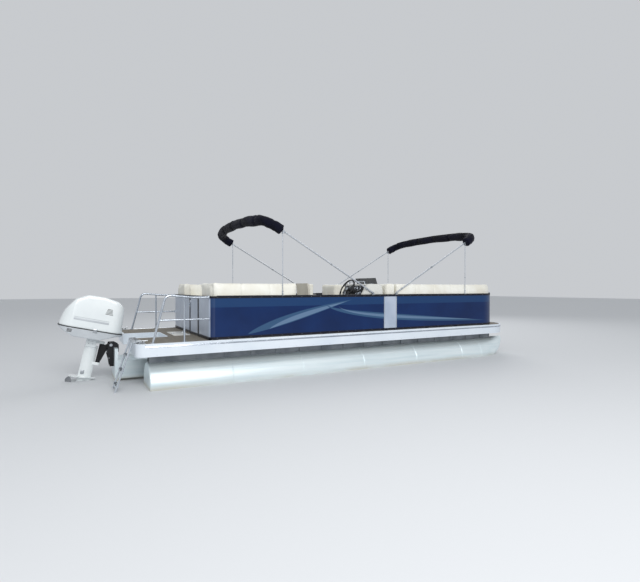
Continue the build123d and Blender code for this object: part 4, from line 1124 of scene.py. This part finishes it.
def make_fitting_details():
    """Bolts of the ladder's brackets, cleats, handrail flanges and collars."""
    bolts = Kit()
    for y in LADDER_RAILS:
        for x in (-95, -65):
            for off in (-30, 30):
                bolts.button((x, y + off, 943), (0, 0, 1), 7, 4)
        for off in (-1, 1):
            bolts.button((LADDER_PIVOT[0], y + off * 24.5, LADDER_PIVOT[2]), (0, off, 0), 10, 6, 6)
    for x, y in ((-95, 1205), (-95, -1205), (7180, 640), (7180, -640)):
        for dx in (-38, 38):
            bolts.button((x + dx, y, 941.5), (0, 0, 1), 5, 3)
    collars = Kit()
    for side in SIDES:
        y = side * HANDRAIL_Y
        for x in (45, 470):
            for spot in round_spots(4, (x, y), 26, 0.5):
                bolts.button((*spot, 940.5), (0, 0, 1), 5, 3)
        collars.rod((470, y, 1236), (470, y, 1264), 17, sides=20)
        collars.rod((806, y, 1250), (822, y, 1250), 22, sides=20)
        collars.rod((806, y, 1564), (822, y, 1564), 25, sides=20)
        collars.rod((470, y, 941), (470, y, 955), 18, sides=20)
    bolts.finish("deck_bolts", "fitting", "hull")
    collars.finish("handrail_collars", "handrail", "hull")


# Folding tops

def make_top_details(top, pivot_x, lean):
    """Jaw slides, leg collars, the boot's straps and zip, and the struts' collars."""
    pivot, way = leg_line(pivot_x, lean)
    slides = Kit()
    for side in SIDES:
        y = Vector((0, side * TOP_HALF, 0))
        on_leg = pivot + way * (STRUT_ALONG / TOP_REACH * TOP_LENGTH) + y
        slides.rod(on_leg - way * 32, on_leg - way * 19, 18, sides=20)
        slides.rod(on_leg + way * 19, on_leg + way * 27, 18, sides=20)
        for spot in (0.06, 0.4):
            collar = pivot + way * (TOP_LENGTH * spot) + y
            slides.rod(collar - way * 14, collar + way * 14, 17, sides=20)
        for face in (-1, 1):
            slides.button(pivot + y + Vector((0, face * 19.5, 0)), (0, face, 0), 9, 5, 6)
    slides.finish(top + "_slides", "fitting", top)
    line = hoop_points(pivot_x, lean)
    straps = Kit()
    for share in STRAP_SHARES:
        spot = min(range(1, len(line) - 1), key=lambda n: abs(line[n].y - share * TOP_HALF))
        along = (line[spot + 1] - line[spot - 1]).normalized()
        straps.ring(line[spot], along, 69, 6, 40, 8)
        straps.block(line[spot] + Vector((-14, -16, -84)), line[spot] + Vector((14, 16, -66)), 4)
    straps.finish(top + "_straps", "bracket", top)
    # The zip runs along the boot's outer side
    out = way.cross(Vector((0, 1, 0))) * (1 if lean > 0 else -1)
    zipper = Kit()
    zipper.tube([p + out * 78 for p in line[12:-12]], 6, 8)
    zipper.finish(top + "_zip", "bracket", top)
    feet = Kit()
    foot_x = pivot_x + lean * (STRUT_ALONG + 36 * TOP_RISE / TOP_LENGTH)
    for side in SIDES:
        for z, tall in ((1604, 10), (1640, 12), (1900, 14)):
            feet.rod((foot_x, side * TOP_HALF, z), (foot_x, side * TOP_HALF, z + tall), 12.5, sides=18)
    feet.finish(top + "_strut_collars", "handrail", top + "_struts")


# Outboard

def make_cowl_details():
    """The cowl's seam, its side stripes and intake louvres, in the outboard's own frame."""
    place = leant(TILT_AXIS, TILT_REST)
    seam = Kit(place)
    path = []
    corner, half, x_low, x_high = 178, 243, -770, 119
    centres = ((x_high - corner, half - corner), (x_low + corner, half - corner),
               (x_low + corner, corner - half), (x_high - corner, corner - half))
    for turn, (x, y) in enumerate(centres):
        for number in range(9):
            angle = math.radians(90 * turn + 90 * number / 8)
            path.append((x + corner * math.cos(angle), y + corner * math.sin(angle), 183))
    seam.tube(path, 5.5, 8, closed=True)
    seam.finish("cowl_seam", "bracket", "motor")
    louvres, stripe = Kit(place), Kit(place)
    slope = math.tan(math.radians(COWL_DRAFT))
    for side in SIDES:
        for number in range(5):
            z = 450 + number * 19
            y = side * (COWL_HALF - 2 - (z - COWL_FOOT) * slope)
            louvres.block((-190 + number * 5, y - 5, z), (-85 - number * 4, y + 5, z + 8), 3)
        for number in range(3):
            z = 112 + number * 17
            louvres.block((-640, side * 240 - 5, z), (-575, side * 240 + 5, z + 8), 3)
        lean = Matrix.Rotation(math.radians(side * COWL_DRAFT), 4, "X")
        for low, high in ((300, 330), (342, 348)):
            y = side * (COWL_HALF - ((low + high) / 2 - COWL_FOOT) * slope)
            stripe.block((-590, y - 3, low), (-110, y + 3, high), 1.5, lean)
    louvres.finish("cowl_louvres", "bracket", "motor")
    stripe.finish("cowl_stripes", "motor_grey", "motor")


def make_motor_details():
    """Cowl latches, anodes, bolts and water grilles, the brackets' bolts and the propeller's nut."""
    place = leant(TILT_AXIS, TILT_REST)
    metal = Kit(place)
    metal.block((117, -45, 150), (130, 45, 205), 4)
    for side in SIDES:
        metal.block((-300, side * 241 - 6, 150), (-240, side * 241 + 6, 205), 3)
        metal.block((-320, side * 43 - 3, -500), (-270, side * 43 + 3, -440), 2)
        for x in (-250, -310):
            metal.button((x, side * 70, -30), (0, side, 0), 9, 5, 6)
            metal.button((x, side * 70, 20), (0, side, 0), 9, 5, 6)
        for number in range(4):
            x = -262 + number * 14
            metal.block((x, side * 38 - 8, -628), (x + 6, side * 38 + 1, -590), 1)
    metal.block((-440, -14, -575), (-390, 14, -549), 4)
    metal.finish("motor_hardware", "fitting", "motor")
    bracket = Kit(Matrix.Translation(at(*TILT_AXIS)))
    for side in SIDES:
        for z in (-60, -110, -250, -300):
            bracket.button((62, side * 104, z), (0, side, 0), 11, 7, 6)
        bracket.rod((0, side * 110, 0), (0, side * 121, 0), 24, sides=6)
        bracket.button((-30, side * 104, -200), (0, side, 0), 11, 7, 6)
    bracket.finish("bracket_bolts", "fitting", "hull")
    hub = Kit(place)
    hub.rod((-503, 0, -722), (-530, 0, -722), 20, 8, 20)
    hub.ring((-420, 0, -722), (1, 0, 0), 40, 2.5, 32)
    hub.finish("propeller_nut", "fitting", "propeller")


make_camera()
FINISHES = make_finishes()
make_floor()
make_light()
finish_nodes()
for lounge in ("bow_lounge_starboard", "bow_lounge_port", "aft_lounge_starboard", "aft_lounge_port"):
    make_cushions(lounge + "_cushions", 0.022, 0.42)
make_cushions("chair_pads", 0.014, 0.5)
for top, pivot_x, lean in (("aft_top", 3720.0, -1), ("bow_top", 4240.0, 1)):
    make_boot(top, pivot_x, lean)
    make_top_details(top, pivot_x, lean)
make_cowl_shell()
make_motor_shell("lower_cowl", "motor_grey", 0.007)
make_motor_shell("motor_leg", "motor_white", 0.004)
make_trim_details()
make_tube_details()
make_deck_details()
make_fence_details()
make_gate_details()
make_base_details()
make_console_details()
make_wheel_details()
make_chair_details()
make_lever_details()
make_ladder_details()
make_fitting_details()
make_cowl_details()
make_motor_details()
